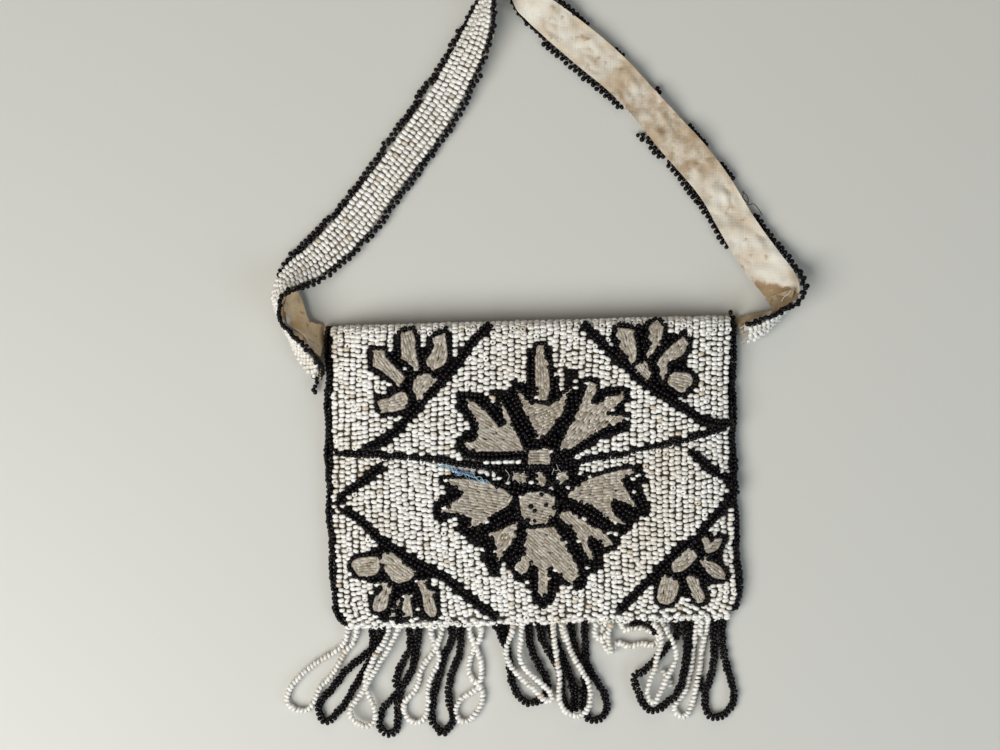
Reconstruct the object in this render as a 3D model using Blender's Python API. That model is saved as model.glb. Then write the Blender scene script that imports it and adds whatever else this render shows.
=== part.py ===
# Beaded evening purse: an envelope pocket with a hinged flap, a narrow carrying strap and a looped bead fringe.
# It lies on its back. X runs across the purse, Y up towards the strap, Z out of the front. Metres.
# The origin is the middle of the back, on the face that it rests on.

import math

import bmesh
import bpy
from mathutils import Matrix, Vector

# Driving sizes of the pocket
BODY_WIDTH = 0.1406
BODY_HEIGHT = 0.1020
CROWN = 0.0052
SIDE_SWAY = 0.0012
CORNER_PULL = 0.0022

# Layers, each laid on the last with a hand-sewn gap
BEAD_LAYER = 0.0015
CLOTH = 0.0004
LINING = 0.0003
GAP = 0.0003
RAISED_BEADS = 0.0009

# Trims of the pocket
EDGING_WIDTH = 0.0034
EDGING_HEIGHT = 0.0052
HEM_DEPTH = 0.0020
HEM_HEIGHT = 0.0034
FLAP_EDGE_RADIUS = 0.0014
FOLD_RADIUS = 0.0022
RIB_STEP = 0.0063
RIB_DEPTH = 0.0006
LINE_WIDTH = 0.0033
OUTLINE_WIDTH = 0.0027

# Strap
STRAP_WIDTH = 0.0145
STRAP_RISE = 0.1290
STRAP_EDGE_RADIUS = 0.0010
STITCH_THICKNESS = 0.0010
STITCH_LENGTH = 0.0080
STRAP_LIFT = 0.0002

# Fringe
FRINGE_LENGTH = 0.0360
STRAND_RADIUS = 0.0010
STRAND_LIFT = 0.0002
STRAND_STEP = 0.0052

# The photograph's frame: the purse's middle and size there, and the slight turn that it lies at
PICTURE_MIDDLE = (534.5, 471.0)
PICTURE_BODY = (413.5, 300.0)
PICTURE_TURN_SHARE = 1.5 / 180.0
PICTURE_HEM = 621.0
PICTURE_TIPS = 727.0
PICTURE_STRAP_TOP = -20.0
PICTURE_STRAP_END = 356.0

# Grid lines of the pocket's sheets, as shares of half the width and of the height from the hem
ACROSS_SHARES = (-1, -0.96, -0.91, -0.83, -0.72, -0.55, -0.3, 0, 0.3, 0.55, 0.72, 0.83, 0.91, 0.96, 1)
FLAT_ACROSS_SHARES = (-1, -0.6, 0, 0.6, 1)
UP_SHARES = (0, 0.03, 0.07, 0.13, 0.22, 0.35, 0.55, 0.8, 1)
FLAT_UP_SHARES = (0, 0.07, 0.5, 1)
FLAP_DOWN_SHARES = (0.25, 0.5, 0.75, 1)
RAISED_UP_SHARES = (0, 0.05, 0.12, 0.22, 0.4, 0.7, 1)
RIB_SHAPE_SHARES = ((-0.5, 1.0), (-0.25, 0.0), (0.25, 0.0))
RIB_END_SHARE = 0.98
CORNER_SHARE = 0.07
CHAMFER_SHARE = 0.25
FULLNESS_POWER = 8
FOLD_STEPS = 3
CURVE_STEPS = 12

# The flap's lower edge in the photograph, from left to right
FLAP_EDGE_PIXELS = (
    (334, 455), (352, 456), (400, 458), (439, 461), (474, 467), (506, 471), (530, 472),
    (560, 469), (587, 462), (627, 455), (649, 448), (682, 443), (716, 433), (736, 426),
)

# The black lines of the lozenge
UPPER_LEFT_PIXELS = (
    (491, 325), (459, 363), (444, 381), (426, 398), (413, 413), (399, 429), (383, 440), (368, 446),
)
UPPER_RIGHT_PIXELS = (
    (581, 322), (593, 336), (606, 350), (623, 365), (638, 380), (667, 398), (696, 415), (722, 420),
)
LOWER_LEFT_PIXELS = (
    (387, 466), (366, 479), (349, 493), (344, 504), (363, 520), (380, 537), (422, 563), (463, 591), (498, 614),
)
LOWER_RIGHT_PIXELS = (
    (690, 452), (704, 464), (719, 474), (728, 488), (722, 504), (708, 520), (682, 544), (653, 573), (620, 606),
)

# Motifs: the middle, the hub's radius, and each petal's tip and width, all in the photograph's pixels
UPPER_ROSETTE_PIXELS = ((540, 447), 7, (
    (538, 348, 15), (512, 380, 15), (572, 380, 15), (462, 398, 16), (496, 396, 13), (464, 436, 14),
    (592, 380, 13), (619, 393, 15), (624, 417, 16),
))
LOWER_ROSETTE_PIXELS = ((538, 508), 15, (
    (448, 486, 15), (440, 511, 15), (464, 528, 13), (477, 544, 15), (497, 567, 15), (517, 578, 13),
    (543, 602, 13), (575, 586, 15), (594, 567, 13), (614, 547, 13), (618, 525, 13), (641, 508, 15),
    (631, 476, 15),
))
UPPER_LEFT_PALMETTE_PIXELS = ((412, 384), 9, ((372, 350, 14), (406, 341, 16), (442, 342, 14), (377, 406, 14)))
UPPER_RIGHT_PALMETTE_PIXELS = ((648, 364), 8, ((621, 336, 15), (655, 336, 14), (687, 340, 13), (690, 384, 15)))
LOWER_LEFT_PALMETTE_PIXELS = ((400, 579), 12, ((354, 562, 16), (377, 604, 14), (405, 609, 13), (433, 609, 14)))
LOWER_RIGHT_PALMETTE_PIXELS = ((694, 567), 9, ((714, 540, 15), (720, 573, 14), (669, 598, 15), (700, 600, 14)))
PETAL_SHAPE_SHARES = (-1.0, -0.75, -0.4, 0.0, 0.4, 0.75, 1.0)
PETAL_WAIST_SHARE = 0.72
HUB_SIDES = 12
LEAST_TURN = math.radians(2.4)
LEAST_MITRE_SHARE = 0.7

# The strap's middle line from its left end, over the top and down to its right end: the photograph's pixels,
# and how far the band is rolled there (0 shows the beads, 90 stands on its edge, 180 shows the lining)
STRAP_PIXELS = (
    (320, 372, 62), (303, 360, 64), (287, 343, 84), (278, 322, 88), (276, 305, 77), (279, 292, 66), (288, 282, 52),
    (301, 273, 33), (319, 260, 14), (347, 233, 6), (368, 207, 4), (388, 180, 3), (410, 151, 3), (431, 123, 5),
    (447, 98, 10), (460, 74, 20), (473, 48, 36), (482, 24, 55), (489, 2, 72), (496, -14, 84), (506, -20, 94),
    (516, -12, 116), (532, 7, 150), (555, 27, 168), (577, 45, 174), (615, 77, 176), (643, 106, 176),
    (672, 139, 176), (696, 166, 176), (718, 194, 175), (743, 230, 174), (761, 257, 171), (775, 277, 158),
    (785, 291, 138), (790, 302, 116), (787, 313, 98), (776, 323, 84), (761, 330, 72), (745, 336, 62),
)
STRAP_RINGS = 60
BAND_SHARES = (-1, 0, 1)

# Fringe loops from left to right: the colour, the strand's place in the pile (0 lies on the table), and the loop's
# points in the photograph, with its two ends at the hem
FRINGE_LOOP_PIXELS = (
    ("white", 0, (
        (345, 628), (330, 645), (306, 664), (290, 684), (290, 700), (303, 709), (318, 697), (334, 672), (354, 632),
    )),
    ("black", 0, (
        (376, 629), (366, 646), (350, 672), (330, 696), (319, 714), (326, 722), (336, 712), (358, 680), (384, 632),
    )),
    ("white", 1, (
        (391, 629), (383, 648), (370, 668), (352, 692), (354, 714), (368, 720), (376, 706), (372, 688), (384, 664),
        (396, 644), (402, 634),
    )),
    ("black", 0, (
        (409, 629), (404, 656), (397, 684), (383, 712), (391, 731), (399, 726), (398, 702), (408, 670), (419, 631),
    )),
    ("white", 0, (
        (430, 628), (426, 654), (422, 678), (407, 704), (412, 719), (424, 716), (430, 690), (436, 660), (443, 630),
    )),
    ("black", 0, (
        (452, 627), (448, 652), (441, 684), (433, 718), (443, 731), (452, 718), (449, 690), (456, 658), (463, 628),
    )),
    ("white", 0, (
        (472, 626), (473, 648), (469, 668), (467, 690), (460, 712), (466, 721), (478, 704), (481, 672), (483, 628),
    )),
    ("black", 0, (
        (500, 620), (503, 643), (510, 665), (511, 676), (517, 689), (524, 700), (533, 699), (541, 694), (546, 682),
        (542, 668), (534, 655), (529, 640), (531, 621),
    )),
    ("white", 1, (
        (513, 620), (512, 631), (507, 641), (506, 653), (510, 663), (517, 672), (527, 681), (537, 690), (546, 699),
        (553, 696), (546, 686), (536, 677), (526, 668), (520, 656), (520, 645), (521, 633), (522, 620),
    )),
    ("black", 0, (
        (539, 620), (541, 634), (547, 648), (556, 662), (561, 678), (560, 694), (566, 707), (573, 700), (573, 686),
        (571, 672), (565, 656), (556, 640), (547, 620),
    )),
    ("white", 2, (
        (555, 619), (552, 632), (554, 646), (557, 660), (559, 674), (559, 688), (558, 698), (563, 707), (571, 712),
        (579, 713), (588, 706), (591, 695), (588, 680), (579, 665), (571, 650), (566, 636), (563, 620),
    )),
    ("black", 0, (
        (572, 620), (572, 634), (575, 646), (580, 660), (584, 672), (585, 684), (581, 698), (583, 710), (590, 719),
        (598, 717), (605, 709), (604, 696), (599, 685), (592, 673), (589, 660), (586, 648), (584, 618),
    )),
    ("white", 0, (
        (606, 619), (600, 632), (605, 645), (611, 651), (617, 641), (629, 645), (641, 642), (653, 644), (658, 635),
        (646, 628), (634, 626), (624, 629), (620, 620),
    )),
    ("black", 1, (
        (672, 620), (676, 632), (668, 645), (657, 657), (640, 672), (633, 677), (636, 688), (642, 698), (650, 706),
        (658, 707), (666, 702), (674, 693), (679, 681), (683, 664), (685, 648), (684, 632), (682, 620),
    )),
    ("white", 2, (
        (650, 619), (659, 629), (660, 641), (656, 654), (653, 668), (647, 684), (648, 696), (654, 700), (659, 690),
        (664, 678), (671, 666), (675, 656), (674, 645), (668, 632), (661, 620),
    )),
    ("white", 0, (
        (697, 619), (694, 635), (692, 654), (689, 672), (684, 691), (674, 704), (677, 713), (685, 715), (691, 704),
        (695, 688), (699, 668), (701, 650), (704, 636), (707, 620),
    )),
    ("black", 0, (
        (716, 619), (714, 630), (713, 645), (712, 664), (707, 682), (704, 696), (708, 711), (717, 716), (726, 709),
        (731, 695), (729, 677), (725, 657), (724, 640), (725, 618),
    )),
)
LEAST_STRAND_POINTS = 12
CLUSTER_ENDS = (7, 12, 17)
CLUSTER_NAMES = ("left", "middle", "right")

# Worked out from the sizes above
LAYERS = BEAD_LAYER + CLOTH + LINING + 2 * GAP
CORE_HALF_WIDTH = BODY_WIDTH / 2 - EDGING_WIDTH - GAP
CORE_TOP = BODY_HEIGHT / 2 - LAYERS - GAP
CORE_BOTTOM = -BODY_HEIGHT / 2 + HEM_DEPTH + GAP
CORE_HEIGHT = CORE_TOP - CORE_BOTTOM
MOUTH_SHARE = 1 - FOLD_RADIUS / CORE_HEIGHT
HINGE_HEIGHT = LAYERS + GAP
HINGE_PLACE = Vector((0, CORE_TOP + GAP / 2, HINGE_HEIGHT))
HEM_MIDDLE = LAYERS + GAP / 2
FRINGE_PLACE = Vector((0, CORE_BOTTOM - HEM_DEPTH - GAP * 2, HEM_MIDDLE + STRAND_RADIUS))
STRAP_BAND = LINING + GAP + BEAD_LAYER


def clear_scene():
    for thing in list(bpy.data.objects):
        bpy.data.objects.remove(thing)


def material(name, colour, roughness, metallic=0.0):
    made = bpy.data.materials.new(name)
    made.use_nodes = True
    shader = made.node_tree.nodes["Principled BSDF"]
    shader.inputs["Base Color"].default_value = (*colour, 1.0)
    shader.inputs["Roughness"].default_value = roughness
    shader.inputs["Metallic"].default_value = metallic
    made.diffuse_color = (*colour, 1.0)
    return made


def home(name, place):
    """An empty on a joint's axis, which carries the pieces that move with it."""
    empty = bpy.data.objects.new(name, None)
    empty.location = place
    bpy.context.collection.objects.link(empty)
    return empty


def add_object(name, data, finish, carrier):
    """Adds the piece, with its origin on its carrier."""
    piece = bpy.data.objects.new(name, data)
    bpy.context.collection.objects.link(piece)
    piece.parent = carrier
    data.transform(Matrix.Translation(-carrier.location))
    if finish:
        data.materials.append(finish)
    return piece


def add_mesh(name, shape, finish, carrier):
    """Turns a bmesh into a named piece, closed, with its faces pointing out."""
    bmesh.ops.recalc_face_normals(shape, faces=shape.faces)
    mesh = bpy.data.meshes.new(name)
    shape.to_mesh(mesh)
    shape.free()
    mesh.shade_smooth()
    mesh.set_sharp_from_angle(angle=math.radians(40))
    return add_object(name, mesh, finish, carrier)


def sheet(name, lower, upper, finish, carrier):
    """A closed sheet between two grids of points with the same rows. Every grid is split along the same diagonals,
    so that sheets laid on each other nest."""
    shape = bmesh.new()
    rows = [[[shape.verts.new(point) for point in row] for row in grid] for grid in (lower, upper)]
    low, high = rows
    tall, wide = len(low) - 1, len(low[0]) - 1
    for j in range(tall):
        for i in range(wide):
            for grid in rows:
                shape.faces.new((grid[j][i], grid[j][i + 1], grid[j + 1][i + 1]))
                shape.faces.new((grid[j][i], grid[j + 1][i + 1], grid[j + 1][i]))
    for j in range(tall):
        for i in (0, wide):
            shape.faces.new((low[j][i], low[j + 1][i], high[j + 1][i], high[j][i]))
    for i in range(wide):
        for j in (0, tall):
            shape.faces.new((low[j][i], low[j][i + 1], high[j][i + 1], high[j][i]))
    return add_mesh(name, shape, finish, carrier)


def between(row, share):
    """The point of a row at a place across the pocket."""
    for k, (a, b) in enumerate(zip(ACROSS_SHARES, ACROSS_SHARES[1:])):
        if share <= b:
            return row[k].lerp(row[k + 1], (share - a) / (b - a))
    return row[-1].copy()


def rib_shares():
    """Places across the pocket where ribbed beadwork has its points, with how far each lies towards a groove."""
    made = [(-1, 0)]
    count = math.ceil(CORE_HALF_WIDTH / RIB_STEP)
    for k in range(-count, count + 1):
        for place, deep in RIB_SHAPE_SHARES:
            share = (k + place) * RIB_STEP / CORE_HALF_WIDTH
            if abs(share) < RIB_END_SHARE:
                made.append((share, deep))
    return [*made, (1, 0)]


def close_edge(shape, near, near_shares, far, far_shares):
    """Closes the rim between two rows that have unlike numbers of points."""
    i = k = 0
    while i < len(near) - 1 or k < len(far) - 1:
        if k == len(far) - 1 or (i < len(near) - 1 and near_shares[i + 1] <= far_shares[k + 1]):
            shape.faces.new((near[i], near[i + 1], far[k]))
            i += 1
        else:
            shape.faces.new((near[i], far[k + 1], far[k]))
            k += 1


def ribbed_sheet(name, lower, upper, finish, carrier):
    """A closed sheet of beadwork, plain beneath. Its outer face has upright ribs, each of three columns of beads.
    They stand no higher than the plain sheet would."""
    shape = bmesh.new()
    ribs = rib_shares()
    groove = RIB_DEPTH / BEAD_LAYER
    low = [[shape.verts.new(point) for point in row] for row in lower]
    high = []
    for under, over in zip(lower, upper):
        high.append([
            shape.verts.new(between(over, share).lerp(between(under, share), deep * groove)) for share, deep in ribs
        ])
    for grid in (low, high):
        for near, far in zip(grid, grid[1:]):
            for i in range(len(near) - 1):
                shape.faces.new((near[i], near[i + 1], far[i + 1]))
                shape.faces.new((near[i], far[i + 1], far[i]))
    for j in range(len(low) - 1):
        for i in (0, -1):
            shape.faces.new((low[j][i], low[j + 1][i], high[j + 1][i], high[j][i]))
    for j in (0, -1):
        close_edge(shape, low[j], ACROSS_SHARES, high[j], [share for share, deep in ribs])
    return add_mesh(name, shape, finish, carrier)


def sweep(name, rings, finish, carrier):
    """A closed bar through rings of points, with flat ends."""
    shape = bmesh.new()
    loops = [[shape.verts.new(point) for point in ring] for ring in rings]
    sides = len(loops[0])
    for near, far in zip(loops, loops[1:]):
        for k in range(sides):
            shape.faces.new((near[k], near[(k + 1) % sides], far[(k + 1) % sides], far[k]))
    shape.faces.new(loops[0])
    shape.faces.new(loops[-1])
    return add_mesh(name, shape, finish, carrier)


def tube(name, points, radius, finish, carrier, resolution=1):
    """A round strand along points, as a curve with filled ends."""
    curve = bpy.data.curves.new(name, "CURVE")
    curve.dimensions = "3D"
    curve.bevel_depth = radius
    curve.bevel_resolution = resolution
    curve.use_fill_caps = True
    spline = curve.splines.new("POLY")
    spline.points.add(len(points) - 1)
    for spot, point in zip(spline.points, points):
        spot.co = (*point, 1.0)
    return add_object(name, curve, finish, carrier)


def smooth_line(points, count):
    """Catmull-Rom curve through the points, at equal shares of its length."""
    ends = [points[0] * 2 - points[1], *points, points[-1] * 2 - points[-2]]
    fine = []
    for a, b, c, d in zip(ends, ends[1:], ends[2:], ends[3:]):
        for k in range(CURVE_STEPS):
            t = k / CURVE_STEPS
            fine.append(
                (b * 2 + (c - a) * t + (a * 2 - b * 5 + c * 4 - d) * t**2 + (b * 3 - a - c * 3 + d) * t**3) / 2
            )
    fine.append(points[-1].copy())
    return even_line(fine, [k / (count - 1) for k in range(count)])


def even_line(points, shares):
    """The points at the given shares of the line's length."""
    run = [0.0]
    for a, b in zip(points, points[1:]):
        run.append(run[-1] + (b - a).length)
    made = []
    k = 0
    for share in shares:
        want = share * run[-1]
        while k < len(points) - 2 and run[k + 1] < want:
            k += 1
        step = run[k + 1] - run[k]
        made.append(points[k].lerp(points[k + 1], (want - run[k]) / step if step else 0.0))
    return made


def upright(pixel):
    """A place in the photograph, from the purse's middle, with the purse's slight turn taken out, in pixels."""
    turn = math.pi * PICTURE_TURN_SHARE
    across = pixel[0] - PICTURE_MIDDLE[0]
    up = PICTURE_MIDDLE[1] - pixel[1]
    return Vector((across * math.cos(turn) + up * math.sin(turn), up * math.cos(turn) - across * math.sin(turn)))


def on_body(pixel):
    """The place on the purse that the pixel shows, following the purse's width and height."""
    spot = upright(pixel)
    return Vector((spot.x / PICTURE_BODY[0] * BODY_WIDTH, spot.y / PICTURE_BODY[1] * BODY_HEIGHT))


def sway(up_share):
    """How far the soft purse leans to the left at this height."""
    return -SIDE_SWAY * math.sin(math.pi * min(max(up_share, 0.0), 1.0))


def fullness(across_share, up_share):
    """How open the pocket is: closed at the side seams and the hem, open at the mouth."""
    closed = 1 - min(max(up_share, 0.0), 1.0)
    return (1 - abs(across_share) ** FULLNESS_POWER) * (1 - closed**FULLNESS_POWER)


def half_width(up_share):
    """Half the pocket's width, drawn in at the lower corners."""
    low = max(0.0, 1 - up_share / CORNER_SHARE)
    return CORE_HALF_WIDTH - CORNER_PULL * low**2


def side_x(side, up_share):
    return side * half_width(up_share) + sway(up_share)


def front_height(across_share, up_share):
    """The outer face of the front's beadwork."""
    return 2 * LAYERS + GAP + CROWN * fullness(across_share, up_share)


def core_grid(across_shares, up_shares, height):
    """Rows of points over the pocket, from the hem to the mouth."""
    return [
        [
            Vector((u * half_width(v) + sway(v), CORE_BOTTOM + CORE_HEIGHT * v, height(u, v)))
            for u in across_shares
        ]
        for v in up_shares
    ]


def pocket_layer(name, low, high, finish, carrier, domed):
    """One layer of the pocket, between two levels. A domed one belongs to the front."""
    across = ACROSS_SHARES if domed else FLAT_ACROSS_SHARES
    up = (*UP_SHARES[:-1], MOUTH_SHARE) if domed else FLAT_UP_SHARES

    def at(level):
        if domed:
            return lambda u, v: front_height(u, v) + level
        return lambda u, v: level

    lower, upper = core_grid(across, up, at(low)), core_grid(across, up, at(high))
    make = ribbed_sheet if domed and high - low >= BEAD_LAYER else sheet
    return make(name, lower, upper, finish, carrier)


def flap_edge_y(across_share):
    """How far down the flap reaches."""
    x = across_share * CORE_HALF_WIDTH
    spots = [on_body(pixel) for pixel in FLAP_EDGE_PIXELS]
    if x <= spots[0].x:
        return spots[0].y
    for a, b in zip(spots, spots[1:]):
        if x <= b.x:
            return a.y + (b.y - a.y) * (x - a.x) / (b.x - a.x)
    return spots[-1].y


def up_share_at(y):
    return (y - CORE_BOTTOM) / CORE_HEIGHT


def flap_grid(lift):
    """Rows of points over the flap, at a height above the pocket: up the fold, round it and down to its edge."""
    columns = []
    for u in ACROSS_SHARES:
        top = front_height(u, 1)
        turn = Vector((CORE_TOP - FOLD_RADIUS, top - FOLD_RADIUS))
        run = FOLD_RADIUS + lift
        column = [
            (CORE_TOP + lift, HINGE_HEIGHT),
            (CORE_TOP + lift, (HINGE_HEIGHT + turn.y) / 2),
        ]
        for k in range(FOLD_STEPS + 1):
            angle = math.pi / 2 * k / FOLD_STEPS
            column.append((turn.x + run * math.cos(angle), turn.y + run * math.sin(angle)))
        lower = flap_edge_y(u) + 2 * FLAP_EDGE_RADIUS + GAP
        for share in FLAP_DOWN_SHARES:
            y = turn.x + (lower - turn.x) * share
            column.append((y, front_height(u, up_share_at(y)) + lift))
        columns.append([Vector((u * half_width(1) + sway(up_share_at(y)), y, z)) for y, z in column])
    return [list(row) for row in zip(*columns)]


def flap_layer(name, low, high, finish, carrier):
    make = ribbed_sheet if high - low >= BEAD_LAYER else sheet
    return make(name, flap_grid(low), flap_grid(high), finish, carrier)


def round_section(width, height):
    """Eight points of a bar's rounded section, as (across, up)."""
    c = min(width, height) * CHAMFER_SHARE
    w, h = width / 2, height / 2
    right = ((w - c, -h), (w, -h + c), (w, h - c), (w - c, h))
    left = tuple((-across, up) for across, up in reversed(right))
    return right + left


def side_edging(name, side, finish, carrier):
    """The beaded cord down one side seam."""
    rings = []
    ups = (*UP_SHARES, (BODY_HEIGHT / 2 - CORE_BOTTOM) / CORE_HEIGHT)
    for v in ups:
        x = side_x(side, v) + side * (GAP + EDGING_WIDTH / 2)
        y = CORE_BOTTOM + CORE_HEIGHT * v
        z = HINGE_HEIGHT
        rings.append([Vector((x + a, y, z + b)) for a, b in round_section(EDGING_WIDTH, EDGING_HEIGHT)])
    return sweep(name, rings, finish, carrier)


def hem_row(name, finish, carrier):
    """The row of beads along the bottom that carries the fringe."""
    half = half_width(0)
    rings = []
    for u in FLAT_ACROSS_SHARES:
        y = CORE_BOTTOM - GAP - HEM_DEPTH / 2
        rings.append([Vector((u * half, y + a, HEM_MIDDLE + b)) for a, b in round_section(HEM_DEPTH, HEM_HEIGHT)])
    return sweep(name, rings, finish, carrier)


def flap_edging(name, finish, carrier):
    """The black bead edge along the flap's lower side."""
    points = []
    for u in ACROSS_SHARES:
        y = flap_edge_y(u) + FLAP_EDGE_RADIUS
        z = front_height(u, up_share_at(y)) + GAP + FLAP_EDGE_RADIUS
        points.append(Vector((u * half_width(1) + sway(up_share_at(y)), y, z)))
    return tube(name, points, FLAP_EDGE_RADIUS, finish, carrier)


def prism(name, outline, carrier):
    """An upright cutter over an outline, tall enough to pass through every layer."""
    reach = BODY_HEIGHT
    shape = bmesh.new()
    floor = shape.faces.new([shape.verts.new((p.x, p.y, -reach)) for p in outline])
    made = bmesh.ops.extrude_face_region(shape, geom=[floor])
    tops = [v for v in made["geom"] if isinstance(v, bmesh.types.BMVert)]
    bmesh.ops.translate(shape, verts=tops, vec=(0, 0, 2 * reach))
    cutter = add_mesh(name, shape, None, carrier)
    cutter.hide_render = True
    cutter.display_type = "WIRE"
    return cutter


def cut(piece, cutter, operation):
    step = piece.modifiers.new(operation.lower(), "BOOLEAN")
    step.operation = operation
    step.object = cutter
    step.solver = "EXACT"


def strip_outline(pixels, width):
    """The outline of a band of beads along a line."""
    line = [on_body(pixel) for pixel in pixels]
    left, right = [], []
    for k, spot in enumerate(line):
        before = (spot - line[k - 1]).normalized() if k else None
        after = (line[k + 1] - spot).normalized() if k < len(line) - 1 else None
        along = ((before or after) + (after or before)).normalized()
        side = Vector((-along.y, along.x))
        spread = width / 2 / max(LEAST_MITRE_SHARE, abs(along.dot(after or before)))
        left.append(spot + side * spread)
        right.append(spot - side * spread)
    return left + right[::-1]


def petal_angles(lobes):
    """The angles at which every outline of a motif has its points, so that the outlines nest."""
    full = 2 * math.pi
    tips = [place % full for place, reach, half in lobes]
    others = [(place + half * share) % full for place, reach, half in lobes for share in PETAL_SHAPE_SHARES]
    others += [full * k / HUB_SIDES for k in range(HUB_SIDES)]
    kept = []
    for angle in tips + others:
        if all(abs((angle - other + math.pi) % full - math.pi) > LEAST_TURN for other in kept):
            kept.append(angle)
    return sorted(kept)


def star_outline(motif, grow):
    """A motif's outline: petals about a hub, each round at its tip, as one radius for each angle."""
    middle, hub, petals = motif
    heart = on_body(middle)
    pixel = BODY_WIDTH / PICTURE_BODY[0]
    lobes, plain = [], []
    for x, y, wide in petals:
        tip = on_body((x, y)) - heart
        place = math.atan2(tip.y, tip.x)
        for grown, kept in ((grow, lobes), (0, plain)):
            half = math.atan2(wide * pixel / 2 + grown, tip.length * PETAL_WAIST_SHARE)
            kept.append((place, tip.length + grown, half))
    core = hub * pixel + grow

    def radius(angle):
        far = core
        for place, reach, half in lobes:
            off = abs((angle - place + math.pi) % (2 * math.pi) - math.pi) / half
            if off < 1:
                far = max(far, core + (reach - core) * (1 - off**3))
        return far

    return [heart + Vector((math.cos(a), math.sin(a))) * radius(a) for a in petal_angles(plain)]


def raised(name, low_grid, high_grid, outline, finish, carrier, cuts=()):
    """Beads that stand proud of the white ground, inside an outline and clear of the cuts."""
    piece = sheet(name, low_grid, high_grid, finish, carrier)
    cut(piece, prism("outline_of_" + name, outline, carrier), "INTERSECT")
    for k, hole in enumerate(cuts):
        cut(piece, prism(f"cut_{k}_of_{name}", hole, carrier), "DIFFERENCE")
    return piece


def front_raised_grid(level):
    """The front's surface below the flap's edge, raised by a level."""
    rows = []
    for share in RAISED_UP_SHARES:
        row = []
        for u in ACROSS_SHARES:
            y = CORE_BOTTOM + (flap_edge_y(u) - 2 * GAP - CORE_BOTTOM) * share
            v = up_share_at(y)
            row.append(Vector((u * half_width(v) + sway(v), y, front_height(u, v) + level)))
        rows.append(row)
    return rows


def flap_raised_grid(level):
    """The flap's flat surface, from its fold down to its edging, raised by a level."""
    return flap_grid(level)[4:]


def motif(name, shape, grids, line, black, clear, carrier):
    """One motif: its black outline beads and, let into them, its clear petals."""
    petals = star_outline(shape, 0)
    seat = star_outline(shape, GAP)
    around = star_outline(shape, OUTLINE_WIDTH)
    beside = [strip_outline(line, LINE_WIDTH + 2 * GAP)] if line else []
    raised(name + "_outline", *grids, around, black, carrier, [seat, *beside])
    raised(name + "_petals", *grids, petals, clear, carrier)


def strap_place(pixel):
    """The place of a strap point: across with the purse's width, up with the strap's rise."""
    spot = upright(pixel)
    top = upright((PICTURE_MIDDLE[0], PICTURE_STRAP_TOP)).y
    end = upright((PICTURE_MIDDLE[0], PICTURE_STRAP_END)).y
    seat = on_body((PICTURE_MIDDLE[0], PICTURE_STRAP_END)).y
    return Vector((spot.x / PICTURE_BODY[0] * BODY_WIDTH, seat + (spot.y - end) / (top - end) * STRAP_RISE, 0))


def seam_face(side, y):
    """Where the side edging's outer face is, at a height on the purse."""
    return side_x(side, up_share_at(y)) + side * (GAP + EDGING_WIDTH)


def strap_stations():
    """Rings along the strap: its middle, its width direction and the way its beads face. Its ends stand square to the
    line between them, about which the strap swings."""
    raw = [strap_place(p) for p in STRAP_PIXELS]
    rolls = [p[2] for p in STRAP_PIXELS]
    for k, side in ((0, -1), (-1, 1)):
        raw[k].x = seam_face(side, raw[k].y) + side * (2 * GAP + STITCH_THICKNESS)
    swing = (raw[0] - raw[-1]).normalized()
    for point, roll in zip(raw, rolls):
        point.z = math.radians(roll) * STRAP_WIDTH
    line = smooth_line(raw, STRAP_RINGS)
    stations = []
    for k, point in enumerate(line):
        a = line[max(k - 1, 0)]
        b = line[min(k + 1, len(line) - 1)]
        along = Vector((b.x - a.x, b.y - a.y, 0)).normalized()
        if k in (0, len(line) - 1):
            along = swing
        inward = Vector((along.y, -along.x, 0))
        roll = point.z / STRAP_WIDTH
        wide = inward * math.cos(roll) + Vector((0, 0, math.sin(roll)))
        faced = Vector((0, 0, math.cos(roll))) - inward * math.sin(roll)
        stand = STRAP_LIFT + STRAP_WIDTH / 2 * abs(math.sin(roll)) + STRAP_BAND / 2 * abs(math.cos(roll))
        stations.append((Vector((point.x, point.y, stand)), wide, faced))
    neck = swing * STRAP_EDGE_RADIUS
    first, last = stations[0], stations[-1]
    return [first, (first[0] + neck, *first[1:]), *stations[1:-1], (last[0] - neck, *last[1:]), last]


def strap_band(name, stations, low, high, half, finish, carrier):
    """One layer of the strap, between two levels on its beaded side."""
    grids = []
    for level in (low, high):
        grids.append([
            [middle + wide * half * share + faced * level for share in BAND_SHARES]
            for middle, wide, faced in stations
        ])
    return sheet(name, *grids, finish, carrier)


def strap_edge(name, stations, side, finish, carrier):
    """The beaded cord along one long edge of the strap."""
    reach = side * (STRAP_WIDTH / 2 - STRAP_EDGE_RADIUS)
    points = [middle + wide * reach for middle, wide, faced in stations]
    return tube(name, points, STRAP_EDGE_RADIUS, finish, carrier)


def stitching(name, side, station, finish, carrier):
    """The sewn end that holds the strap to the side seam: flat on the seam, and square to the strap's end."""
    middle, wide, faced = station
    swing = wide.cross(faced)
    outer = middle - swing * (GAP if swing.x * side > 0 else -GAP)
    end = []
    for a, b in ((1, 1), (-1, 1), (-1, -1), (1, -1)):
        end.append(outer + wide * (a * STITCH_LENGTH / 2) + faced * (b * STRAP_BAND / 2))
    seam = [Vector((seam_face(side, point.y) + side * GAP, point.y, point.z)) for point in end]
    return sweep(name, [seam, end], finish, carrier)


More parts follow.
